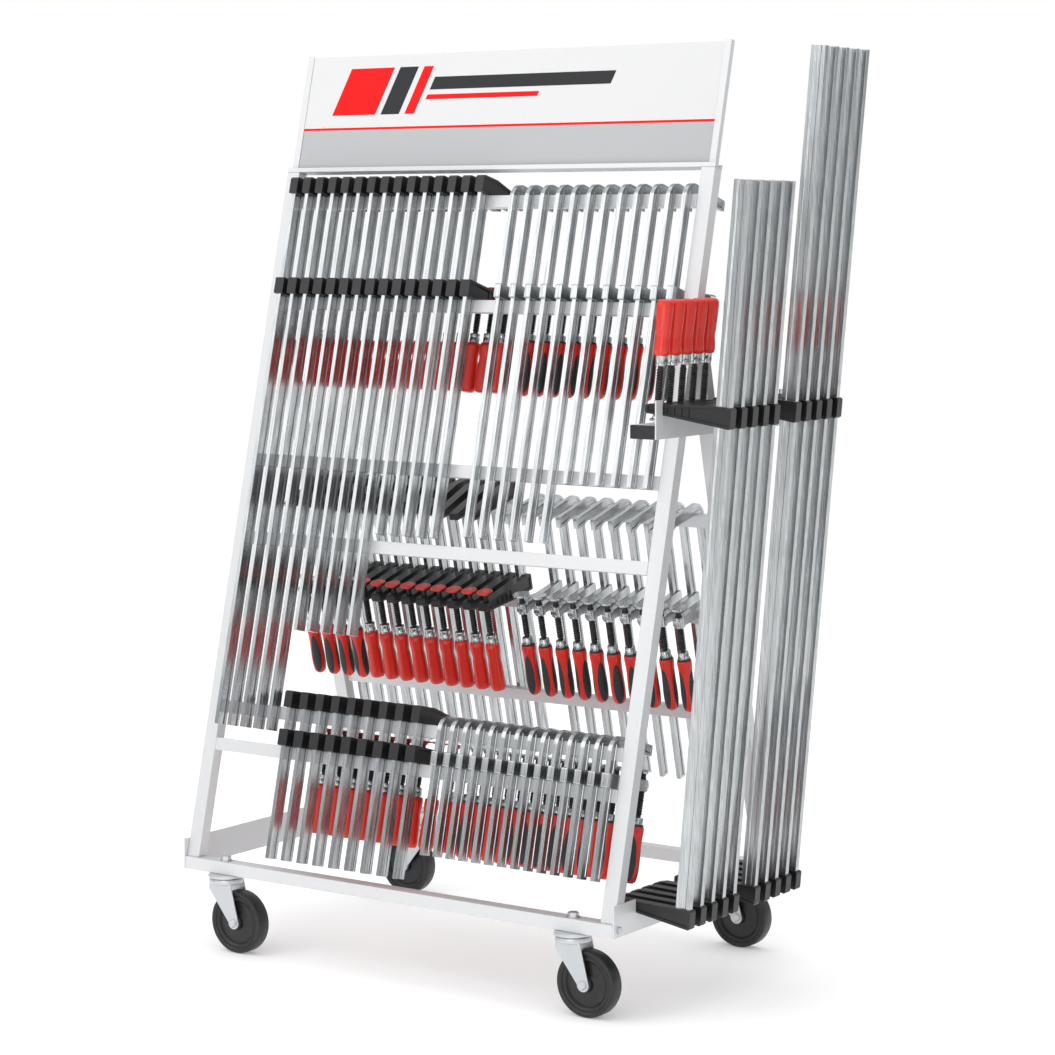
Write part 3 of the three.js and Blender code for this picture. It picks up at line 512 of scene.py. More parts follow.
def finished(piece, material, body="rack", replaced=()):
    """Gives a piece its finish and its body, and hides the nodes that it stands for."""
    if material:
        piece.data.materials.clear()
        piece.data.materials.append(material)
    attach(piece, body)
    if replaced:
        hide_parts(*replaced)
    return piece


def node_copy(node):
    """A copy of a CAD node, its triangles merged to flat faces."""
    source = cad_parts[node]
    copy = source.copy()
    copy.data = source.data.copy()
    copy.name = f"{node}_finish"
    copy.parent = None
    copy.matrix_world = Matrix.Identity(4)
    bpy.context.collection.objects.link(copy)
    choose(copy)
    bpy.ops.object.mode_set(mode="EDIT")
    bpy.ops.mesh.select_all(action="SELECT")
    bpy.ops.mesh.remove_doubles(threshold=MERGE_CAD)
    bpy.ops.mesh.dissolve_limited(angle_limit=FLAT_ANGLE)
    bpy.ops.object.mode_set(mode="OBJECT")
    return copy


def softened(node, width, material):
    """A copy of one of the rack's CAD nodes with its edges rounded, standing for the node."""
    return finished(rounded(node_copy(node), width), material, "rack", (node,))


def arc(y, z, radius, start, end, steps):
    """Points on an arc about (y, z), angles in degrees."""
    turns = [math.radians(start + (end - start) * i / steps) for i in range(steps + 1)]
    return [(y + radius * math.cos(t), z + radius * math.sin(t)) for t in turns]


# Places of the rows, as the frame has them


def front_face():
    """Turns the front face's own coordinates into the rack's."""
    return Matrix.Translation(CORNER) @ Matrix.Rotation(-sizes().lean, 4, "X")


def rear_face():
    """Turns the rear face's own coordinates into the rack's."""
    foot = CORNER + Vector((RACK_WIDTH, BASE_DEPTH - sizes().rear_inset, 0))
    return (Matrix.Translation(foot) @ Matrix.Rotation(math.pi, 4, "Z")
            @ Matrix.Rotation(-sizes().lean, 4, "X"))


SIDE_CLEAR = 16.5 * MM
GROUP_GAP = 45 * MM
UPPER_CAST_COUNT = 15
UPPER_CAST_PITCH = 33.1 * MM
UPPER_STEEL_PITCH = 35.4 * MM
LOWER_CAST_START = 194 * MM
LOWER_CAST_COUNT = 9
LOWER_CAST_PITCH = 39 * MM
LOWER_STEEL_PITCH = 29.6 * MM
REAR_CAST_COUNT = 13
REAR_CAST_PITCH = 38 * MM
REAR_STEEL_PITCH = 40 * MM
REAR_TWO_PART_COUNT = 4


def post_inner():
    """Distance from the plate's outer face to a post's inner face."""
    return PLATE_THICK + SEAT_GAP + sizes().post_width


def even(first, pitch, count):
    """Evenly pitched places."""
    return [first + i * pitch for i in range(count)]


def filling(start, end, pitch):
    """As many places as fit, counted back from the end."""
    count = 1 + math.floor((end - start) / pitch)
    return even(end - (count - 1) * pitch, pitch, count)


def row_places():
    """Middles of the cast and steel clamps of each row."""
    first = post_inner() + SIDE_CLEAR
    last = RACK_WIDTH - first
    upper_cast = even(first, UPPER_CAST_PITCH, UPPER_CAST_COUNT)
    lower_cast = even(post_inner() + LOWER_CAST_START, LOWER_CAST_PITCH, LOWER_CAST_COUNT)
    rear_cast = even(last - (REAR_CAST_COUNT - 1) * REAR_CAST_PITCH, REAR_CAST_PITCH,
                     REAR_CAST_COUNT)
    return {
        "upper_cast": upper_cast,
        "upper_steel": filling(upper_cast[-1] + GROUP_GAP, last, UPPER_STEEL_PITCH),
        "lower_cast": lower_cast,
        "lower_steel": filling(lower_cast[-1] + GROUP_GAP, last, LOWER_STEEL_PITCH),
        "rear_cast": rear_cast,
        "rear_steel": filling(first, last - REAR_CAST_COUNT * REAR_CAST_PITCH - GROUP_GAP,
                              REAR_STEEL_PITCH),
    }


# Clamp pieces, drawn with y = 0 on the rail's face and z = 0 on the rail's top

JAW_LIP = 4.5 * MM
CAST_BAR_DEPTH = 27 * MM
CAST_BAR_THICK = 9 * MM
CAST_THROAT = 115 * MM
CAST_JAW_HEIGHT = 33 * MM
CAST_TIP = 130 * MM
CAST_BAR_LONG = 1114 * MM
CAST_BAR_STEP = 202 * MM
LOWER_CAST_BAR = 326 * MM
REAR_BAR = 587 * MM
STEEL_BAR_DEPTH = 20 * MM
STEEL_BAR_THICK = 9 * MM
STEEL_THROAT = 108 * MM
STEEL_TIP = 120 * MM
STEEL_BEND = 30 * MM
STEEL_ARM_HEIGHT = 21 * MM
STEEL_BAR_LONG = 695 * MM
STEEL_BAR_STEP = 114 * MM
LOWER_STEEL_BAR = 267 * MM
SPINDLE_RADIUS = 6.5 * MM
SPINDLE_FREE = 45 * MM
SPINDLE_SEAT = 2 * MM
FERRULE_LENGTH = 18 * MM
CAST_HANDLE = 118 * MM
STEEL_HANDLE = 122 * MM
PAD_RISE = 8 * MM
PAD_THICK = 8 * MM
PAD_STAND = 14 * MM
CAST_PAD_RADIUS = 16 * MM
STEEL_PAD_RADIUS = 17 * MM
NARROW_PAD_RADIUS = 14 * MM
BOSS_RADIUS = 11 * MM
RIB_WIDTH = 4.5 * MM
RIB_SUNK = 0.5 * MM
RIB_PITCH = 15 * MM
RIB_COUNT = 4
GRIP_SECTOR = 120
HANDLE_TURN = math.radians(137.5)
CAST_FIXED_THICK = 19 * MM
CAST_SLIDE_THICK = 22 * MM
STEEL_ARM_THICK = 15 * MM
POCKET_RIM = 5 * MM
FIXED_POCKET = 2.5 * MM
SLIDE_POCKET = 2 * MM
STEEL_POCKET = 1.5 * MM
BAR_BEVEL = 0.7 * MM
JAW_BEVEL = 1.0 * MM
FORGED_BEVEL = 1.8 * MM
PLATE_BEVEL = 0.5 * MM
CAP_BEVEL = 1.0 * MM
CAST_RIB_START = 38 * MM
CUT_LOW = -10 * MM
CUT_HIGH = 100 * MM
GROOVE_SHARE = 0.16
BAR_EDGE_SHARE = 0.27
GROOVE_SLOPE = 1.25
THREAD_ROOT_SHARE = 0.78
RIDGE_START = 0.3
RIDGE_END = 0.6
UPPER_CAST_GROUP = 5
UPPER_STEEL_GROUP = 6


def bar_piece(name, depth, thick, length, bottom, inner=-SEAT_GAP):
    """A drawn bar with a shallow groove down each wide side, from z = bottom upwards."""
    groove = thick * GROOVE_SHARE
    low, high = inner - depth, inner
    edge = depth * BAR_EDGE_SHARE
    sunk = edge * GROOVE_SLOPE
    half = thick / 2
    section = [
        (-half, low), (half, low), (half, low + edge), (half - groove, low + sunk),
        (half - groove, high - sunk), (half, high - edge), (half, high), (-half, high),
        (-half, high - edge), (-half + groove, high - sunk),
        (-half + groove, low + sunk), (-half, low + edge),
    ]
    deselect()
    bpy.ops.mesh.primitive_circle_add(vertices=len(section), radius=START_RADIUS, fill_type="NGON")
    piece = bpy.context.object
    piece.name = name
    for vertex, (x, y) in zip(piece.data.vertices, section):
        vertex.co = (x, y, bottom)
    bpy.ops.object.mode_set(mode="EDIT")
    bpy.ops.mesh.select_all(action="SELECT")
    bpy.ops.mesh.extrude_region_move(TRANSFORM_OT_translate={"value": (0, 0, length)})
    bpy.ops.object.mode_set(mode="OBJECT")
    return rounded(recalculated(piece), BAR_BEVEL, 1)


def bar_cutter(depth, thick, bottom, top):
    """The room that a bar takes in a jaw, with its running clearance."""
    half = thick / 2 + SEAT_GAP
    return block("bar_room", (-half, -SEAT_GAP - depth - SEAT_GAP, bottom), (half, 0, top))


def spindle_cutter(throat, bottom, top):
    """The room that a spindle takes in a jaw."""
    room = turned("spindle_room", [(SPINDLE_RADIUS + SEAT_GAP, bottom),
                                   (SPINDLE_RADIUS + SEAT_GAP, top)], 20)
    room.data.transform(Matrix.Translation((0, throat, 0)))
    return room


def cast_fixed_jaw():
    """Tapered I-section jaw at the top of a cast clamp's bar."""
    front = -SEAT_GAP - CAST_BAR_DEPTH - JAW_LIP
    outline = [
        (front, 0), (CAST_TIP, 0), (CAST_TIP, 11 * MM), (CAST_TIP - 4 * MM, 13 * MM),
        (15 * MM, CAST_JAW_HEIGHT), (front + 4 * MM, CAST_JAW_HEIGHT),
        (front, CAST_JAW_HEIGHT - 4 * MM),
    ]
    jaw = coffered(slab("cast_fixed_jaw", outline, CAST_FIXED_THICK), POCKET_RIM, FIXED_POCKET)
    cut(jaw, bar_cutter(CAST_BAR_DEPTH, CAST_BAR_THICK, CUT_LOW, CAST_JAW_HEIGHT - 4 * MM))
    return rounded(jaw, JAW_BEVEL)


def cast_sliding_jaw():
    """Loop-headed jaw that slides on a cast clamp's bar and carries the spindle."""
    front = -SEAT_GAP - CAST_BAR_DEPTH - JAW_LIP
    outline = [
        (front, 2 * MM), (front + 2 * MM, 0), (19.5 * MM, 0), (CAST_TIP - 3 * MM, 8 * MM),
        (CAST_TIP, 11 * MM), (CAST_TIP, 22 * MM), (CAST_TIP - 3 * MM, 25 * MM),
        (front + 2 * MM, CAST_JAW_HEIGHT), (front, CAST_JAW_HEIGHT - 2 * MM),
    ]
    jaw = coffered(slab("cast_sliding_jaw", outline, CAST_SLIDE_THICK), POCKET_RIM, SLIDE_POCKET)
    cut(jaw, bar_cutter(CAST_BAR_DEPTH, CAST_BAR_THICK, CUT_LOW, CUT_HIGH))
    cut(jaw, spindle_cutter(CAST_THROAT, CUT_LOW, CUT_HIGH))
    ribs = even(CAST_RIB_START, RIB_PITCH, RIB_COUNT)
    return ribbed(rounded(jaw, JAW_BEVEL), CAST_SLIDE_THICK, ribs, 8 * MM, 24 * MM)


def steel_hook_bar(length):
    """A steel clamp's bar, bent over at the top to make its fixed arm."""
    back = -SEAT_GAP
    front = back - STEEL_BAR_DEPTH
    foot = STEEL_ARM_HEIGHT - length
    bend = arc(front + STEEL_BEND, STEEL_ARM_HEIGHT - STEEL_BEND, STEEL_BEND, 180, 90, 8)
    outline = [(back, foot), (front, foot), *bend, (STEEL_TIP - 3 * MM, 15.5 * MM),
               (STEEL_TIP, 12 * MM), (STEEL_TIP, -4 * MM), (STEEL_TIP - 2 * MM, -5 * MM),
               (STEEL_TIP - 22 * MM, -5 * MM), (STEEL_TIP - 36 * MM, 0), (back, 0)]
    bar = coffered(slab("steel_hook_bar", outline, STEEL_BAR_THICK), POCKET_RIM, STEEL_POCKET)
    return rounded(bar, JAW_BEVEL)


def steel_sliding_arm():
    """Forged arm with a loop round the bar and a boss round the spindle."""
    front = -SEAT_GAP - STEEL_BAR_DEPTH - JAW_LIP
    outline = [
        (front, 2 * MM), (front + 2 * MM, 0), (19.5 * MM, 0), (STEEL_TIP - 4 * MM, 8 * MM),
        (STEEL_TIP, 11 * MM), (STEEL_TIP, 20 * MM), (STEEL_TIP - 4 * MM, 23 * MM),
        (front + 2 * MM, 28 * MM), (front, 26 * MM),
    ]
    arm = slab("steel_sliding_arm", outline, STEEL_ARM_THICK)
    cut(arm, bar_cutter(STEEL_BAR_DEPTH, STEEL_BAR_THICK, CUT_LOW, CUT_HIGH))
    cut(arm, spindle_cutter(STEEL_THROAT, CUT_LOW, CUT_HIGH))
    boss = turned("boss", [(BOSS_RADIUS - 2 * MM, 4 * MM), (BOSS_RADIUS, 6 * MM),
                           (BOSS_RADIUS, 24 * MM), (BOSS_RADIUS - 2 * MM, 26 * MM)], 24)
    boss.data.transform(Matrix.Translation((0, STEEL_THROAT, 0)))
    cut(boss, spindle_cutter(STEEL_THROAT, CUT_LOW, CUT_HIGH))
    return joined([rounded(arm, FORGED_BEVEL), smooth(boss)], "steel_sliding_arm")


def threaded_spindle(name, bottom, top):
    """A spindle with rounded thread ridges between its two plain ends."""
    pitch = sizes().thread_pitch
    root = SPINDLE_RADIUS * THREAD_ROOT_SHARE
    profile = [(root, bottom)]
    turns = int((top - bottom - 2 * pitch) / pitch)
    for i in range(turns):
        foot = bottom + pitch * (i + 1)
        profile += [(root, foot), (SPINDLE_RADIUS, foot + pitch * RIDGE_START),
                    (SPINDLE_RADIUS, foot + pitch * RIDGE_END)]
    profile += [(root, bottom + pitch * (turns + 1)), (root, top)]
    return smooth(turned(name, profile, 12), 30)


def ferrule(name):
    """The bright collar between spindle and handle, its top at z = 0."""
    return smooth(turned(name, [
        (8.5 * MM, 0.5 * MM), (9.6 * MM, 0), (10 * MM, -2 * MM), (10 * MM, -7 * MM),
        (9.4 * MM, -8 * MM), (10 * MM, -9 * MM), (10.2 * MM, -FERRULE_LENGTH)], 20))


def waisted_handle(name):
    """Lacquered handle with a waist and a rounded end, hanging below its ferrule."""
    return smooth(turned(name, [
        (10.8 * MM, -FERRULE_LENGTH), (13.7 * MM, -20 * MM), (14.7 * MM, -27 * MM),
        (14.3 * MM, -36 * MM), (12.7 * MM, -47 * MM), (12.6 * MM, -53 * MM),
        (13.9 * MM, -62 * MM), (14.4 * MM, -74 * MM), (15.5 * MM, -104 * MM),
        (15.0 * MM, -112 * MM), (12.8 * MM, -116.5 * MM), (8.5 * MM, -CAST_HANDLE)], 24), 60)


# The two-part handle's sections in mm: radius, height and the grip's half width in degrees
GRIP_ROWS = (
    (13.4, -36, 4), (13.1, -40, 16), (13.0, -46, 26), (13.0, -54, 33), (13.2, -62, 38),
    (13.5, -70, 42), (13.8, -78, 44), (14.0, -86, 44), (14.0, -94, 42), (13.7, -102, 38),
    (13.0, -109, 32), (12.0, -114, 24), (10.6, -118, 12))
GRIP_HEAD = ((9.0, 0), (10.2, -1.5), (10.4, -12.4), (12.2, -12.6), (12.4, -17), (13.6, -17.2),
             (14.2, -20), (14.2, -26), (13.8, -31))
GRIP_RING_TOP = -12.5
GRIP_RING_FOOT = -17.1


def two_part_handle(name):
    """Red body with three dark drop-shaped grips, below a bright ferrule and a black ring."""
    body = [(radius, z) for radius, z, _ in GRIP_ROWS]
    sections = [*GRIP_HEAD, *body, (6, -STEEL_HANDLE / MM)]
    piece = turned(name, [(radius * MM, z * MM) for radius, z in sections], 36)
    for finish in (handle_red(), grip_rubber(), zinc_plate()):
        piece.data.materials.append(finish)
    for face in piece.data.polygons:
        x, y, z = face.center / MM
        column = math.degrees(math.atan2(y, x)) % GRIP_SECTOR - GRIP_SECTOR / 2
        grip = abs(column) < GRIP_SECTOR / 4 and GRIP_ROWS[-1][1] < z < GRIP_ROWS[0][1]
        ring = GRIP_RING_FOOT < z < GRIP_RING_TOP
        face.material_index = 2 if z > GRIP_RING_TOP else 1 if grip or ring else 0
    widths = {z: width for _, z, width in GRIP_ROWS}
    for vertex in piece.data.vertices:
        width = widths.get(round(vertex.co.z / MM))
        if width:
            gathered(vertex, width)
    return smooth(piece, 60)


def gathered(vertex, width):
    """Turns a handle's point about the axis so that its grip is as wide as it should be."""
    radius = math.hypot(vertex.co.x, vertex.co.y)
    turn = math.degrees(math.atan2(vertex.co.y, vertex.co.x))
    column = turn % GRIP_SECTOR - GRIP_SECTOR / 2
    quarter = GRIP_SECTOR / 4
    if abs(column) <= quarter:
        moved = column / quarter * width
    else:
        share = (abs(column) - quarter) / quarter
        moved = math.copysign(width + share * (2 * quarter - width), column)
    angle = math.radians(turn - column + moved)
    vertex.co.x, vertex.co.y = radius * math.cos(angle), radius * math.sin(angle)


def pad_disc(name, top, radius):
    """The swivelling pad on a spindle's end."""
    return smooth(turned(name, [
        (7.5 * MM, top - PAD_THICK), (8.5 * MM, top - 4.5 * MM), (radius, top - 3 * MM),
        (radius, top - 0.8 * MM), (radius - 0.8 * MM, top)], 24))


def hung(face, xs, z, y=0.0):
    """Places on a face for pieces drawn about a rail's top, or about a spindle at depth y."""
    return [face @ Matrix.Translation((x, y, z)) for x in xs]


PAD_TOP_CAST = 25 * MM + PAD_RISE + PAD_THICK
PAD_TOP_STEEL = 23 * MM + PAD_RISE + PAD_THICK


class Row:
    """A row's name, the face that it hangs on and the tops of its hook and jaw rails."""

    def __init__(self, name, face, hook, jaw):
        self.name = name
        self.face = face
        self.hook = hook
        self.jaw = jaw


def rows():
    """The upper, lower and rear rows."""
    s = sizes()
    front = front_face()
    return (Row("upper", front, s.upper_hook, s.upper_hook - s.upper_drop),
            Row("lower", front, s.lower_hook, s.lower_hook - s.lower_drop),
            Row("rear", rear_face(), s.rear_hook, s.rear_hook - s.rear_drop))


def hang_cast(row, groups, hand):
    """Hangs cast clamps on a row; groups are (bar length, places), hand is the handle's form."""
    xs = [x for _, group in groups for x in group]
    jaw = cast_fixed_jaw()
    finished(copies(jaw, hung(row.face, xs, row.hook), f"{row.name}_cast_fixed_jaws"),
             cast_black())
    slide = cast_sliding_jaw()
    finished(copies(slide, hung(row.face, xs, row.jaw), f"{row.name}_cast_sliding_jaws"),
             cast_black())
    drop(jaw, slide)
    top = CAST_JAW_HEIGHT - JAW_LIP
    bars = []
    for i, (length, group) in enumerate(groups):
        bar = bar_piece("bar", CAST_BAR_DEPTH, CAST_BAR_THICK, length, top - length)
        bars.append(copies(bar, hung(row.face, group, row.hook), f"bars_{i}"))
        drop(bar)
    finished(joined(bars, f"{row.name}_cast_bars"), zinc_plate())
    hang_screws(f"{row.name}_cast", row, xs, CAST_THROAT, PAD_TOP_CAST, hand, CAST_PAD_RADIUS)


def hang_steel(row, groups, pad_radius=STEEL_PAD_RADIUS):
    """Hangs all-steel clamps on a row; groups are (bar length, places)."""
    xs = [x for _, group in groups for x in group]
    bars = []
    for i, (length, group) in enumerate(groups):
        bar = steel_hook_bar(length)
        bars.append(copies(bar, hung(row.face, group, row.hook), f"hooks_{i}"))
        drop(bar)
    finished(joined(bars, f"{row.name}_steel_bars"), zinc_plate())
    arm = steel_sliding_arm()
    finished(copies(arm, hung(row.face, xs, row.jaw), f"{row.name}_steel_arms"),
             zinc_plate())
    drop(arm)
    hang_screws(f"{row.name}_steel", row, xs, STEEL_THROAT, PAD_TOP_STEEL, "two_part",
                pad_radius)


def hang_screws(name, row, xs, throat, pad_top, hand, pad_radius):
    """Spindles, ferrules, handles and pads under a row of jaws."""
    pad_top += PAD_STAND - PAD_RISE
    screw = threaded_spindle("spindle", -SPINDLE_FREE, pad_top - PAD_THICK)
    finished(copies(screw, hung(row.face, xs, row.jaw, throat), f"{name}_spindles"),
             black_thread())
    pad = pad_disc("pad", pad_top, pad_radius)
    red_pads = hand == "waisted"
    finished(copies(pad, hung(row.face, xs, row.jaw, throat), f"{name}_pads"),
             handle_red() if red_pads else zinc_plate())
    drop(screw, pad)
    places = hung(row.face, xs, row.jaw - SPINDLE_FREE, throat)
    add_handles(name, places, hand)


def add_handles(name, places, hand, body="rack", replaced=()):
    """Handles of one form at the places of their ferrule ends."""
    if hand == "waisted":
        collar = ferrule("ferrule")
        finished(copies(collar, places, f"{name}_ferrules"), zinc_plate(), body)
        grip = waisted_handle("handle")
        finished(copies(grip, places, f"{name}_handles"), handle_red(), body,
                 replaced)
        drop(collar, grip)
    else:
        grip = two_part_handle("handle")
        turns = [place @ Matrix.Rotation(i * HANDLE_TURN, 4, "Z")
                 for i, place in enumerate(places)]
        finished(copies(grip, turns, f"{name}_handles"), None, body, replaced)
        drop(grip)


def rail_piece(name, face, top, node):
    """A finished rail in place of the node that carries a row."""
    start = post_inner() + SEAT_GAP
    low = (start, 0, top - sizes().rail_height)
    high = (RACK_WIDTH - start, sizes().rail_depth, top)
    rail = rounded(block(name, low, high), sizes().tube_bevel)
    rail.data.transform(face)
    return finished(rail, frame_paint(), replaced=(node,))


# Frame, rows and jointed clamps


class RACK_OT_frame(bpy.types.Operator):
    """Rounds and paints the tubes, plates, rails and arm of the frame"""

    bl_idname = "rack.frame"
    bl_label = "Frame"

    def execute(self, context):
        width = sizes().tube_bevel
        tubes = ("base_front_rail", "base_rear_rail", "front_left_post", "front_right_post",
                 "rear_left_leg", "rear_right_leg", "middle_rail_high", "middle_rail_low",
                 "rear_low_rail", "support_arm_tube")
        for node in tubes:
            softened(node, width, frame_paint())
        for node in ("left_side_plate", "sign_rail", "sign_channel_left", "sign_channel_right"):
            softened(node, PLATE_BEVEL, frame_paint())
        for node in ("support_arm_front_cap", "support_arm_rear_cap"):
            softened(node, CAP_BEVEL, wheel_plastic())
        for row in rows():
            hook, jaw = f"{row.name}_hook_rail", f"{row.name}_jaw_rail"
            rail_piece(hook, row.face, row.hook, f"{hook}_and_bars")
            rail_piece(jaw, row.face, row.jaw, f"{jaw}_and_jaws")
        return {"FINISHED"}


class RACK_OT_rows(bpy.types.Operator):
    """Hangs the clamps of the upper, lower and rear rows on their rails"""

    bl_idname = "rack.rows"
    bl_label = "Clamp rows"

    def execute(self, context):
        places = row_places()
        upper, lower, back = rows()
        cast = places["upper_cast"][:-1]
        starts = range(0, UPPER_CAST_COUNT, UPPER_CAST_GROUP)
        hang_cast(upper, [(CAST_BAR_LONG - i * CAST_BAR_STEP, cast[start:start + UPPER_CAST_GROUP])
                          for i, start in enumerate(starts)], "waisted")
        steel = places["upper_steel"][:-1]
        hang_steel(upper, [(STEEL_BAR_LONG, steel[:UPPER_STEEL_GROUP]),
                           (STEEL_BAR_LONG - STEEL_BAR_STEP, steel[UPPER_STEEL_GROUP:])])
        hang_cast(lower, [(LOWER_CAST_BAR, places["lower_cast"])], "waisted")
        hang_steel(lower, [(LOWER_STEEL_BAR, places["lower_steel"])], NARROW_PAD_RADIUS)
        rear_cast = places["rear_cast"]
        hang_cast(back, [(REAR_BAR, rear_cast[:-REAR_TWO_PART_COUNT])], "waisted")
        two_part = Row("rear_left", back.face, back.hook, back.jaw)
        hang_cast(two_part, [(REAR_BAR, rear_cast[-REAR_TWO_PART_COUNT:])], "two_part")
        hang_steel(back, [(REAR_BAR, places["rear_steel"])])
        return {"FINISHED"}


class RACK_OT_loose_clamps(bpy.types.Operator):
    """Models the jointed cast and steel clamps, each piece on its own body"""

    bl_idname = "rack.loose_clamps"
    bl_label = "Jointed clamps"

    def execute(self, context):
        s = sizes()
        face = front_face()
        places = row_places()
        hook, jaw = s.upper_hook + SEAT_GAP, s.upper_hook - s.upper_drop + SEAT_GAP
        x = places["upper_cast"][-1]
        at_hook = face @ Matrix.Translation((x, 0, hook))
        length = CAST_BAR_LONG - 2 * CAST_BAR_STEP
        bar = bar_piece("cast_bar_finish", CAST_BAR_DEPTH, CAST_BAR_THICK, length,
                        CAST_JAW_HEIGHT - JAW_LIP - length)
        self.place(bar, at_hook, zinc_plate(), "rack", "zinc_steel", "cast_clamp_bar")
        self.place(cast_fixed_jaw(), at_hook, cast_black(), "rack", "black_iron",
                   "cast_clamp_fixed_jaw")
        at_jaw = face @ Matrix.Translation((x, 0, jaw))
        self.place(cast_sliding_jaw(), at_jaw, cast_black(), "cast_clamp_slider", "black_iron",
                   "cast_clamp_sliding_jaw")
        self.screw("cast_clamp", at_jaw, CAST_THROAT, PAD_TOP_CAST, "waisted")
        x = places["upper_steel"][-1]
        at_hook = face @ Matrix.Translation((x, 0, hook))
        self.place(steel_hook_bar(STEEL_BAR_LONG - STEEL_BAR_STEP), at_hook, zinc_plate(), "rack",
                   "zinc_steel", "steel_clamp_bar")
        at_jaw = face @ Matrix.Translation((x, 0, jaw))
        self.place(steel_sliding_arm(), at_jaw, zinc_plate(), "steel_clamp_slider", "zinc_steel",
                   "steel_clamp_sliding_jaw")
        self.screw("steel_clamp", at_jaw, STEEL_THROAT, PAD_TOP_STEEL, "two_part")
        return {"FINISHED"}

    @staticmethod
    def place(piece, matrix, material, body, slot, node):
        """Sets a piece in its place in the rack's coordinates."""
        piece.data.transform(matrix)
        piece.name = f"{node}_finish"
        finished(piece, material, body, (node,))

    @classmethod
    def screw(cls, name, at_jaw, throat, pad_top, hand):
        """The spindle, pad and handle of a jointed clamp."""
        axis = at_jaw @ Matrix.Translation((0, throat, 0))
        spindle = threaded_spindle("spindle", -SPINDLE_FREE - SPINDLE_SEAT, pad_top - PAD_THICK / 2)
        cls.place(spindle, axis, black_thread(), f"{name}_screw", "black_iron", f"{name}_spindle")
        red_pads = hand == "waisted"
        radius = CAST_PAD_RADIUS if throat == CAST_THROAT else STEEL_PAD_RADIUS
        cls.place(pad_disc("pad", pad_top, radius), axis,
                  handle_red() if red_pads else zinc_plate(), f"{name}_pressure", "zinc_steel",
                  f"{name}_pad")
        grip = axis @ Matrix.Translation((0, 0, -SPINDLE_FREE))
        add_handles(name, [grip], hand, f"{name}_screw", (f"{name}_handle",))


# Long clamps

LONG_BAR_DEPTH = 30 * MM
LONG_BAR_THICK = 11 * MM
LONG_THROAT = 123 * MM
LONG_BAR_OFFSET = 81 * MM
LONG_TIP = 143 * MM
LONG_JAW_THICK = 19 * MM
LONG_FREE_THREAD = 70 * MM
LONG_PAD_RADIUS = 13 * MM
LONG_TIP_HEIGHT = 17 * MM
LONG_BAR_FRONT = 1343 * MM
LONG_BAR_REAR = 1586 * MM
LONG_PITCH = 39 * MM
LONG_COUNT = 5
LONG_GROUP_GAP = 78 * MM
PLATE_SEAT = 35 * MM
FRONT_UPSTAND = 74 * MM
PLATE_HEIGHT = PLATE_HIGH[2] - PLATE_LOW[2]
ARM_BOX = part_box("support_arm_tube")
ARM_CAP_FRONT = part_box("support_arm_front_cap")[0][1]
ARM_CAP_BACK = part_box("support_arm_rear_cap")[1][1]
ARM_PLATE_HEIGHT = 70 * MM
ARM_SEAT = 42 * MM
REAR_UPSTAND_FROM_CAP = 29 * MM
LONG_HEEL = 9 * MM
LONG_RIB_START = 52 * MM
LONG_CUT_LOW = -50 * MM
LONG_SCREW_CUT_LOW = -20 * MM
LONG_PAD_DROP = 4 * MM


def long_frame(y):
    """Places a long clamp drawn like a hung one, y = 0 on its bar's inner face."""
    s = sizes()
    seat = CORNER + Vector((RACK_WIDTH - PLATE_THICK / 2, y, PLATE_SEAT))
    return (Matrix.Translation(seat) @ Matrix.Rotation(s.long_lean, 4, "Y")
            @ Matrix.Translation((LONG_BAR_OFFSET, 0, 0)) @ Matrix.Rotation(math.pi / 2, 4, "Z"))


def long_ys():
    """Middles of the front and rear long clamps."""
    first = FRONT_UPSTAND + SEAT_GAP + LONG_JAW_THICK / 2
    front = even(first, LONG_PITCH, LONG_COUNT)
    return front, even(front[-1] + LONG_GROUP_GAP, LONG_PITCH, LONG_COUNT)


def long_slide_seat():
    """Where a long clamp's sliding jaw rests on the arm: its y and z in the clamp's own frame."""
    lean = sizes().long_lean
    out = ARM_BOX[1][0] + SEAT_GAP + PLATE_THICK - CORNER.x - RACK_WIDTH + PLATE_THICK / 2
    up = ARM_BOX[0][2] + ARM_SEAT - CORNER.z - PLATE_SEAT
    x = out * math.cos(lean) - up * math.sin(lean)
    return LONG_BAR_OFFSET - x, out * math.sin(lean) + up * math.cos(lean)


def long_fixed_jaw():
    """The foot jaw of a long clamp: its back on the plate, its working face up."""
    head = -LONG_BAR_DEPTH - JAW_LIP
    outline = [
        (LONG_TIP, 0), (LONG_TIP, 10 * MM), (LONG_TIP - 4 * MM, 13 * MM), (LONG_THROAT, 18 * MM),
        (head + 3 * MM, 27 * MM), (head, 24 * MM), (head, -6 * MM), (head + 3 * MM, -LONG_HEEL),
        (LONG_BAR_OFFSET, 0),
    ]
    jaw = coffered(slab("long_fixed_jaw", outline, LONG_JAW_THICK), POCKET_RIM, FIXED_POCKET)
    half = LONG_BAR_THICK / 2 + SEAT_GAP
    floor = JAW_LIP - LONG_HEEL - SEAT_GAP
    cut(jaw, block("bar_room", (-half, -LONG_BAR_DEPTH - SEAT_GAP, floor),
                   (half, SEAT_GAP, CUT_HIGH)))
    return rounded(jaw, JAW_BEVEL)


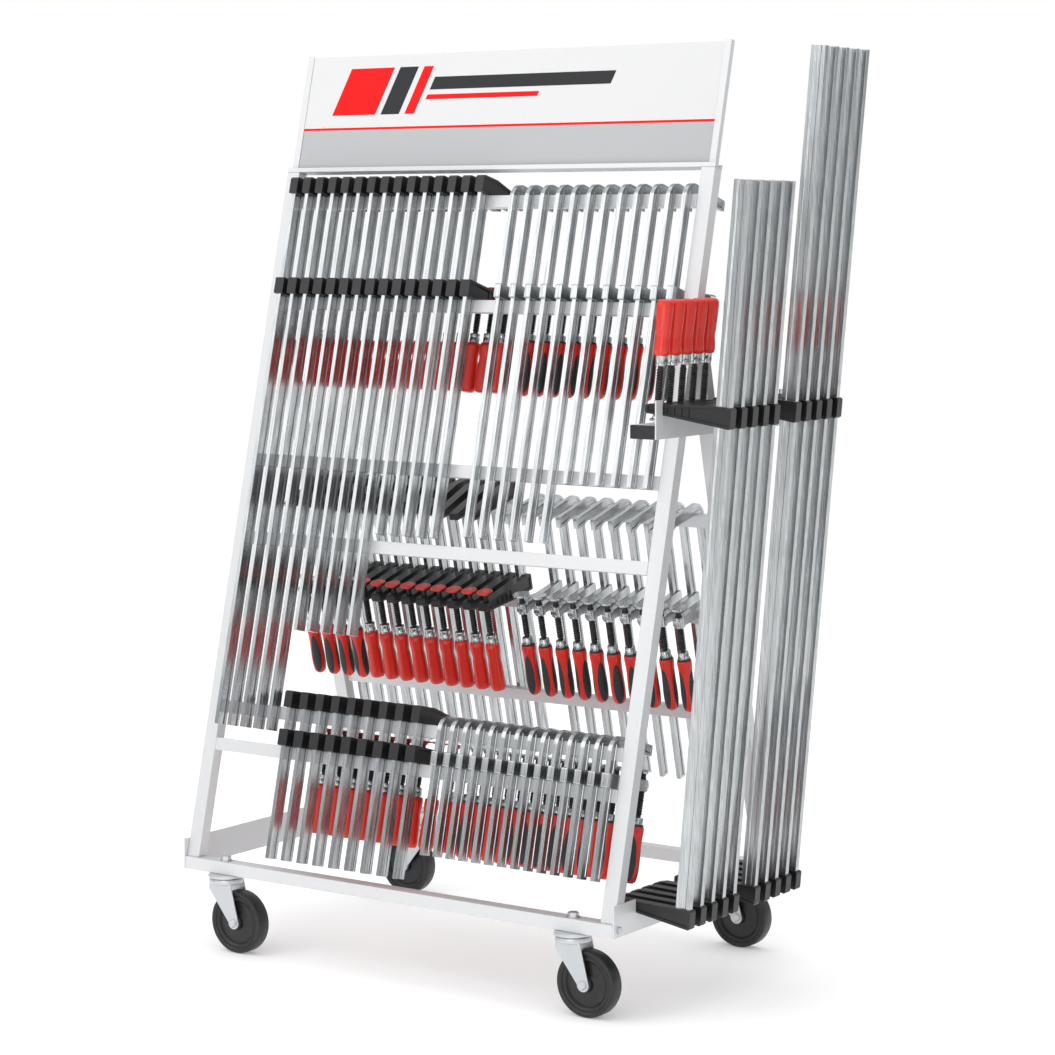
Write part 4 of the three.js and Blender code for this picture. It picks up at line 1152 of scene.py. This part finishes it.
def long_sliding_jaw():
    """The upper jaw of a long clamp: resting on the arm, with the spindle through its tip."""
    head = -LONG_BAR_DEPTH - JAW_LIP
    seat = long_slide_seat()[0]
    outline = [
        (LONG_TIP, 3 * MM), (LONG_TIP, 14 * MM), (LONG_TIP - 4 * MM, LONG_TIP_HEIGHT),
        (4.5 * MM, 29 * MM), (head + 3 * MM, 29 * MM), (head, 26 * MM), (head, -6 * MM),
        (head + 3 * MM, -LONG_HEEL), (seat, 0), (LONG_TIP - 3 * MM, 0),
    ]
    jaw = coffered(slab("long_sliding_jaw", outline, LONG_JAW_THICK), POCKET_RIM, SLIDE_POCKET)
    half = LONG_BAR_THICK / 2 + SEAT_GAP
    cut(jaw, block("bar_room", (-half, -LONG_BAR_DEPTH - SEAT_GAP, LONG_CUT_LOW),
                   (half, SEAT_GAP, CUT_HIGH)))
    cut(jaw, spindle_cutter(LONG_THROAT, LONG_SCREW_CUT_LOW, CUT_HIGH))
    ribs = even(LONG_RIB_START, RIB_PITCH, RIB_COUNT)
    return ribbed(rounded(jaw, JAW_BEVEL), LONG_JAW_THICK, ribs, 3 * MM, LONG_TIP_HEIGHT)


def notched_plate(name, x, front, back, notch_end, height, seat, base):
    """An upright plate that is low where the long clamps lie and high at both ends."""
    start = CORNER.y + FRONT_UPSTAND
    outline = [(front, base), (back, base), (back, base + height), (notch_end, base + height),
               (notch_end, base + seat), (start, base + seat), (start, base + height),
               (front, base + height)]
    plate = slab(name, outline, PLATE_THICK)
    plate.data.transform(Matrix.Translation((x + PLATE_THICK / 2, 0, 0)))
    return rounded(plate, PLATE_BEVEL)


class RACK_OT_long_clamps(bpy.types.Operator):
    """Stands the long clamps on the right side plate and against the support arm"""

    bl_idname = "rack.long_clamps"
    bl_label = "Long clamps"

    def execute(self, context):
        notch_end = ARM_CAP_BACK - REAR_UPSTAND_FROM_CAP
        right = CORNER.x + RACK_WIDTH - PLATE_THICK
        plate = notched_plate("right_side_plate", right, CORNER.y, CORNER.y + BASE_DEPTH,
                              notch_end, PLATE_HEIGHT, PLATE_SEAT, CORNER.z)
        finished(plate, frame_paint(),
                 replaced=("right_side_plate_and_long_bars",))
        flange = notched_plate("support_arm_plate", ARM_BOX[1][0] + SEAT_GAP, ARM_CAP_FRONT,
                               ARM_CAP_BACK, notch_end, ARM_PLATE_HEIGHT, ARM_SEAT, ARM_BOX[0][2])
        finished(flange, frame_paint(),
                 replaced=("support_arm_plate_and_jaws",))
        front, rear = long_ys()
        self.stand("long_front", front[1:], LONG_BAR_FRONT)
        self.stand("long_rear", rear, LONG_BAR_REAR)
        self.stand_loose(front[0])
        return {"FINISHED"}

    @staticmethod
    def masters(length):
        """One long clamp's bar, jaws, spindle and pad, and the places that they share."""
        foot = JAW_LIP - LONG_HEEL
        slide = long_slide_seat()[1]
        bar = bar_piece("bar", LONG_BAR_DEPTH, LONG_BAR_THICK, length, foot, 0)
        fixed = long_fixed_jaw()
        sliding = long_sliding_jaw()
        sliding.data.transform(Matrix.Translation((0, 0, slide)))
        top = slide + LONG_TIP_HEIGHT + LONG_FREE_THREAD
        at_tip = Matrix.Translation((0, LONG_THROAT, 0))
        spindle = threaded_spindle("spindle", slide - LONG_HEEL, top)
        spindle.data.transform(at_tip)
        pad = pad_disc("pad", PAD_THICK, LONG_PAD_RADIUS)
        turned_over = Matrix.Rotation(math.pi, 4, "X")
        pad.data.transform(at_tip @ Matrix.Translation((0, 0, slide - LONG_PAD_DROP)) @ turned_over)
        grip = at_tip @ Matrix.Translation((0, 0, top)) @ turned_over
        return bar, fixed, sliding, spindle, pad, grip

    def stand(self, name, ys, length):
        """A group of long clamps of one length."""
        bar, fixed, sliding, spindle, pad, grip = self.masters(length)
        places = [long_frame(y) for y in ys]
        finished(copies(bar, places, f"{name}_bars"), long_bar_zinc())
        finished(copies(fixed, places, f"{name}_fixed_jaws"), cast_black())
        finished(copies(sliding, places, f"{name}_sliding_jaws"), cast_black())
        finished(copies(spindle, places, f"{name}_spindles"), black_thread())
        finished(copies(pad, places, f"{name}_pads"), zinc_plate())
        drop(bar, fixed, sliding, spindle, pad)
        add_handles(name, [place @ grip for place in places], "waisted")

    def stand_loose(self, y):
        """The jointed long clamp, each piece on its own body."""
        bar, fixed, sliding, spindle, pad, grip = self.masters(LONG_BAR_FRONT)
        place = long_frame(y) @ Matrix.Translation((0, 0, SEAT_GAP))
        pieces = ((bar, long_bar_zinc(), "rack", "zinc_steel", "long_clamp_bar"),
                  (fixed, cast_black(), "rack", "black_iron", "long_clamp_fixed_jaw"),
                  (sliding, cast_black(), "long_clamp_slider", "black_iron",
                   "long_clamp_sliding_jaw"),
                  (spindle, black_thread(), "long_clamp_screw", "black_iron",
                   "long_clamp_spindle"),
                  (pad, zinc_plate(), "long_clamp_pressure", "zinc_steel", "long_clamp_pad"))
        for piece, material, body, slot, node in pieces:
            RACK_OT_loose_clamps.place(piece, place, material, body, slot, node)
        add_handles("long_clamp", [place @ grip], "waisted", "long_clamp_screw",
                    ("long_clamp_handle",))


# Casters

BASE_HEIGHT = 155 * MM
WHEEL_RADIUS = 62.5 * MM
WHEEL_HALF = 16 * MM
HUB_HALF = 18.2 * MM
CASTER_TRAIL = 35 * MM
FORK_LEG_THICK = 3 * MM
LEG_INNER = 18.8 * MM
LEG_BEVEL = 0.9 * MM
AXLE_RADIUS = 5.6 * MM
AXLE_PAST = 1 * MM
WHEEL_BORE = 6.3 * MM
WHEEL_CUT = 50 * MM


def caster_head(name):
    """Race plate, bolt and nut above the swivel, with the base's underside at z = 0."""
    race = turned("race", [(30 * MM, -7.2 * MM), (35 * MM, -6.6 * MM), (36 * MM, -5 * MM),
                           (36 * MM, -2 * MM), (34 * MM, -SEAT_GAP), (6 * MM, -SEAT_GAP),
                           (6 * MM, 33 * MM), (5 * MM, 34.5 * MM)], 40)
    nut = turned("nut", [(9.4 * MM, 25.4 * MM), (10.5 * MM, 26.4 * MM), (10.5 * MM, 34 * MM),
                         (9.4 * MM, 35 * MM)], 6)
    washer = turned("washer", [(13 * MM, 25.3 * MM), (13 * MM, 26.6 * MM)], 24)
    return smooth(joined([race, nut, washer], name), 30)


def caster_fork(name):
    """Pressed fork: a domed crown over two tapering legs with the axle bolt through them."""
    centre = WHEEL_RADIUS - BASE_HEIGHT
    crown = turned("crown", [(31 * MM, -18.6 * MM), (33.5 * MM, -17 * MM), (34 * MM, -12 * MM),
                             (33 * MM, -8.4 * MM), (28 * MM, -7.6 * MM)], 40)
    pieces = [crown]
    foot = arc(CASTER_TRAIL, centre, 13 * MM, 180, 360, 10)
    outline = [(-26 * MM, -8 * MM), (-27 * MM, -30 * MM), *foot, (26 * MM, -8 * MM)]
    for side in (1, -1):
        leg = slab("leg", outline, FORK_LEG_THICK)
        leg.data.transform(Matrix.Rotation(-math.pi / 2, 4, "Z"))
        leg.data.transform(Matrix.Translation((0, side * (LEG_INNER + FORK_LEG_THICK / 2), 0)))
        pieces.append(rounded(recalculated(leg), LEG_BEVEL))
        bolt = turned("bolt", [(9 * MM, 0), (9 * MM, 3 * MM), (7.5 * MM, 5 * MM)], 6)
        reach = LEG_INNER + FORK_LEG_THICK
        lie = Matrix.Rotation(-side * math.pi / 2, 4, "X")
        bolt.data.transform(Matrix.Translation((CASTER_TRAIL, side * reach, centre)) @ lie)
        pieces.append(bolt)
    half = LEG_INNER + AXLE_PAST
    axle = turned("axle", [(AXLE_RADIUS, -half), (AXLE_RADIUS, half)], 20)
    axle.data.transform(Matrix.Translation((CASTER_TRAIL, 0, centre))
                        @ Matrix.Rotation(math.pi / 2, 4, "X"))
    return smooth(joined([*pieces, axle], name), 32)


def caster_wheel(name):
    """Moulded wheel with a rounded tread, a raised rim, a sunk web and a hub."""
    half = [(13 * MM, HUB_HALF), (14.5 * MM, HUB_HALF - 1 * MM), (16 * MM, 10 * MM),
            (19 * MM, 8.5 * MM), (42 * MM, 8.5 * MM), (44 * MM, 12 * MM), (47 * MM, 14 * MM),
            (50 * MM, 13 * MM), (52 * MM, 12.5 * MM), (54 * MM, 15 * MM), (58 * MM, WHEEL_HALF),
            (61.2 * MM, 14.5 * MM), (WHEEL_RADIUS, 11 * MM)]
    profile = [(r, -z) for r, z in half] + [(r, z) for r, z in reversed(half)]
    wheel = turned(name, profile, 64)
    bore = turned("bore", [(WHEEL_BORE, -WHEEL_CUT), (WHEEL_BORE, WHEEL_CUT)], 24)
    cut(wheel, bore)
    wheel.data.transform(Matrix.Rotation(math.pi / 2, 4, "X"))
    return smooth(wheel, 40)


class RACK_OT_casters(bpy.types.Operator):
    """Models the four swivel casters on their forks and wheels"""

    bl_idname = "rack.casters"
    bl_label = "Casters"

    def execute(self, context):
        head, fork, wheel = caster_head("head"), caster_fork("fork"), caster_wheel("wheel")
        for name in ("front_left", "front_right", "rear_left", "rear_right"):
            low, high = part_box(f"{name}_caster_head")
            swivel = Matrix.Translation(((low[0] + high[0]) / 2, (low[1] + high[1]) / 2, CORNER.z))
            low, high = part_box(f"{name}_caster_wheel")
            middle = Vector([(low[i] + high[i]) / 2 for i in range(3)])
            turn = 0 if middle.x > swivel.translation.x else math.pi
            stand = swivel @ Matrix.Rotation(turn, 4, "Z")
            finished(copies(head, [stand], f"{name}_head_finish"), caster_zinc(), "rack",
                     (f"{name}_caster_head",))
            finished(copies(fork, [stand], f"{name}_fork_finish"), caster_zinc(), f"{name}_fork",
                     (f"{name}_caster_fork",))
            finished(copies(wheel, [Matrix.Translation(middle)], f"{name}_wheel_finish"),
                     wheel_plastic(), f"{name}_wheel", (f"{name}_caster_wheel",))
        drop(head, fork, wheel)
        return {"FINISHED"}


# Sign and fasteners

SIGN_STRIPE = 5 * MM
SIGN_GREY_SHARE = 0.36
MOTIF_START = 90 * MM
MOTIF_MARGIN = 26 * MM
MOTIF_SLANT = 34 * MM
MOTIF_WIDE = 110 * MM
MOTIF_MIDDLE = 46 * MM
MOTIF_NARROW = 24 * MM
MOTIF_BAR_LONG = 430 * MM
MOTIF_BAR_SHORT = 270 * MM
MOTIF_BAR_HEIGHT = 26 * MM
MOTIF_LINE_HEIGHT = 10 * MM
MOTIF_GAP = 14 * MM
MOTIF_PROUD = 0.2 * MM
BOLT_INSET = 15 * MM
LEG_BOLT_INSET = 70 * MM
BOLT_HEIGHT = 14 * MM


class RACK_OT_sign(bpy.types.Operator):
    """Prints the sign panel's bands, with slanted stripes and level bars above them"""

    bl_idname = "rack.sign"
    bl_label = "Sign"

    def execute(self, context):
        panel = node_copy("sign_panel")
        lean = sizes().lean
        up = Vector((0, math.sin(lean), math.cos(lean)))
        into = Vector((0, math.cos(lean), -math.sin(lean)))
        heights = [vertex.co.dot(up) for vertex in panel.data.vertices]
        foot, top = min(heights), max(heights)
        stripe = foot + (top - foot) * SIGN_GREY_SHARE
        bpy.ops.object.mode_set(mode="EDIT")
        for height in (stripe, stripe + SIGN_STRIPE):
            bpy.ops.mesh.select_all(action="SELECT")
            bpy.ops.mesh.bisect(plane_co=up * height, plane_no=up)
        bpy.ops.object.mode_set(mode="OBJECT")
        panel.data.materials.clear()
        for finish in (sign_print("sign_white", colours().sign),
                       sign_print("sign_red", colours().handle),
                       sign_print("sign_grey", colours().sign_grey)):
            panel.data.materials.append(finish)
        for face in panel.data.polygons:
            height = face.center.dot(up)
            on_front = face.normal.dot(into) < -FACING
            zone = 2 if height < stripe else 1 if height < stripe + SIGN_STRIPE else 0
            face.material_index = zone if on_front else 0
        finished(panel, None, "sign", ("sign_panel",))
        face = min((vertex.co - CORNER).dot(into) for vertex in panel.data.vertices)
        base = CORNER.dot(up)
        self.motif(face, stripe + SIGN_STRIPE + MOTIF_MARGIN - base, top - MOTIF_MARGIN - base)
        return {"FINISHED"}

    @staticmethod
    def motif(face, low, high):
        """Slanted stripes of falling width and two level bars as a plain decoration."""
        dark = sign_print("sign_dark", colours().grip)
        red = sign_print("sign_red", colours().handle)
        slant = MOTIF_SLANT / (high - low)
        start = MOTIF_START
        forms = []
        for width, finish in ((MOTIF_WIDE, red), (MOTIF_MIDDLE, dark), (MOTIF_NARROW, red)):
            forms.append((start, width, low, high, finish))
            start += width + MOTIF_GAP
        middle = (low + high) / 2
        forms.append((start, MOTIF_BAR_LONG, middle, middle + MOTIF_BAR_HEIGHT, dark))
        forms.append((start, MOTIF_BAR_SHORT, middle - 2 * MOTIF_LINE_HEIGHT,
                      middle - MOTIF_LINE_HEIGHT, red))
        for start, width, foot, top, finish in forms:
            lower, upper = start + slant * (foot - low), start + slant * (top - low)
            outline = [(lower, foot), (lower + width, foot), (upper + width, top), (upper, top)]
            stripe = slab("sign_stripe", outline, 2 * MOTIF_PROUD)
            stripe.data.transform(Matrix.Rotation(-math.pi / 2, 4, "Z"))
            stripe.data.transform(front_face() @ Matrix.Translation((0, face, 0)))
            finished(recalculated(stripe), finish, "sign")


class RACK_OT_fasteners(bpy.types.Operator):
    """Adds the bolt heads that hold plates, rails, legs and arm together"""

    bl_idname = "rack.fasteners"
    bl_label = "Fasteners"

    def execute(self, context):
        bolt = turned("bolt", [(8 * MM, 0), (8 * MM, 1.2 * MM), (6.5 * MM, 1.4 * MM),
                               (6.5 * MM, 5 * MM), (5.6 * MM, 6 * MM)], 6)
        right = CORNER.x + RACK_WIDTH
        out_right = Matrix.Rotation(math.pi / 2, 4, "Y")
        out_left = Matrix.Rotation(-math.pi / 2, 4, "Y")
        ys = (CORNER.y + BOLT_INSET, CORNER.y + BASE_DEPTH - BOLT_INSET,
              CORNER.y + BASE_DEPTH - LEG_BOLT_INSET)
        z = CORNER.z + BOLT_HEIGHT
        places = [Matrix.Translation((right, y, z)) @ out_right for y in ys]
        places += [Matrix.Translation((CORNER.x, y, z)) @ out_left for y in ys]
        finished(copies(bolt, places, "frame_bolts"), caster_zinc())
        drop(bolt)
        return {"FINISHED"}


# Stage: lamps are a name, a place, a size in m and a power in W

LAMPS = (("key", (-2.6, -4.2, 3.6), 3.8, 60), ("front", (1.6, -5.2, 1.5), 2.6, 42),
         ("fill", (4.4, -2.2, 2.4), 1.6, 6), ("top", (0.2, 0.6, 4.4), 3.0, 25))
LAMP_AIM = Vector((0, 0, 0.85))
FLOOR_SIZE = 60
FLOOR_WHITE = (0.93, 0.93, 0.93, 1)
FLOOR_GLOW = 0.22
WHITE = (1, 1, 1)
ROOM_DIM = (0.31, 0.32, 0.33)
IMAGE_SIZE = 1055
FOCAL_PIXELS = 2873.71
SENSOR_WIDTH = 36
CAMERA_FROM_CORNER = Vector((3.7771, -4.2683, 1.2781))
CAMERA_DOWN = math.radians(5.97)
CAMERA_ROUND = math.radians(34.57)


class RACK_OT_stage(bpy.types.Operator):
    """Sets the floor, the soft light and the camera"""

    bl_idname = "rack.stage"
    bl_label = "Stage"

    def execute(self, context):
        self.floor()
        self.world(context.scene)
        for lamp in LAMPS:
            self.lamp(*lamp)
        self.camera(context.scene)
        context.scene.view_settings.view_transform = "Standard"
        return {"FINISHED"}

    @staticmethod
    def floor():
        """A plain pale floor that shows the shadow and melts into the background."""
        deselect()
        bpy.ops.mesh.primitive_plane_add(size=FLOOR_SIZE)
        plane = bpy.context.object
        plane.name = "floor"
        made, shader, _ = start_material("floor_white")
        shader.inputs["Base Color"].default_value = FLOOR_WHITE
        shader.inputs["Roughness"].default_value = 0.9
        shader.inputs["Specular IOR Level"].default_value = 0
        shader.inputs["Emission Color"].default_value = (*WHITE, 1)
        shader.inputs["Emission Strength"].default_value = FLOOR_GLOW
        plane.data.materials.append(made)

    @staticmethod
    def world(scene):
        """White to the camera; to the object a room, dim at eye level and bright overhead."""
        world = bpy.data.worlds.new("studio")
        scene.world = world
        world.use_nodes = True
        tree = world.node_tree
        room = tree.nodes["Background"]
        coordinate = tree.nodes.new("ShaderNodeTexCoord")
        split = tree.nodes.new("ShaderNodeSeparateXYZ")
        tree.links.new(coordinate.outputs["Generated"], split.inputs["Vector"])
        tree.links.new(ramp(tree, split.outputs["Z"], 0.02, 0.75, ROOM_DIM, WHITE),
                       room.inputs["Color"])
        backdrop = tree.nodes.new("ShaderNodeBackground")
        backdrop.inputs["Color"].default_value = (*WHITE, 1)
        path = tree.nodes.new("ShaderNodeLightPath")
        choice = tree.nodes.new("ShaderNodeMixShader")
        tree.links.new(path.outputs["Is Camera Ray"], choice.inputs["Fac"])
        tree.links.new(room.outputs["Background"], choice.inputs[1])
        tree.links.new(backdrop.outputs["Background"], choice.inputs[2])
        tree.links.new(choice.outputs["Shader"], tree.nodes["World Output"].inputs["Surface"])

    @staticmethod
    def lamp(name, place, size, power):
        """A square soft lamp aimed at the middle of the rack."""
        data = bpy.data.lights.new(name, "AREA")
        data.size = size
        data.energy = power
        lamp = bpy.data.objects.new(name, data)
        lamp.location = place
        aim = LAMP_AIM - Vector(place)
        lamp.rotation_euler = aim.to_track_quat("-Z", "Y").to_euler()
        bpy.context.collection.objects.link(lamp)

    @staticmethod
    def camera(scene):
        """The photograph's viewpoint: a long lens to the right of the front."""
        data = bpy.data.cameras.new("camera")
        data.sensor_width = SENSOR_WIDTH
        data.lens = FOCAL_PIXELS / IMAGE_SIZE * SENSOR_WIDTH
        camera = bpy.data.objects.new("camera", data)
        camera.location = CORNER + CAMERA_FROM_CORNER
        camera.rotation_euler = (math.pi / 2 - CAMERA_DOWN, 0, CAMERA_ROUND)
        bpy.context.collection.objects.link(camera)
        scene.camera = camera


class RACK_PT_panel(bpy.types.Panel):
    """Lists the rack's steps"""

    bl_idname = "RACK_PT_panel"
    bl_label = "Clamp rack"
    bl_space_type = "VIEW_3D"
    bl_region_type = "UI"
    bl_category = "Rack"

    def draw(self, context):
        for step in STEPS:
            self.layout.operator(step.bl_idname)


STEPS = (RACK_OT_frame, RACK_OT_rows, RACK_OT_loose_clamps, RACK_OT_long_clamps, RACK_OT_casters,
         RACK_OT_sign, RACK_OT_fasteners, RACK_OT_stage)
CLASSES = (RackSizes, RackColours, *STEPS, RACK_PT_panel)


def register():
    """Registers the classes and the scene's settings."""
    for item in CLASSES:
        bpy.utils.register_class(item)
    bpy.types.Scene.rack_sizes = bpy.props.PointerProperty(type=RackSizes)
    bpy.types.Scene.rack_colours = bpy.props.PointerProperty(type=RackColours)


def unregister():
    """Removes what register added."""
    del bpy.types.Scene.rack_colours
    del bpy.types.Scene.rack_sizes
    for item in reversed(CLASSES):
        bpy.utils.unregister_class(item)


def main():
    """Builds every piece in order."""
    register()
    bpy.ops.rack.frame()
    bpy.ops.rack.rows()
    bpy.ops.rack.loose_clamps()
    bpy.ops.rack.long_clamps()
    bpy.ops.rack.casters()
    bpy.ops.rack.sign()
    bpy.ops.rack.fasteners()
    bpy.ops.rack.stage()
    deselect()


if __name__ == "__main__":
    main()
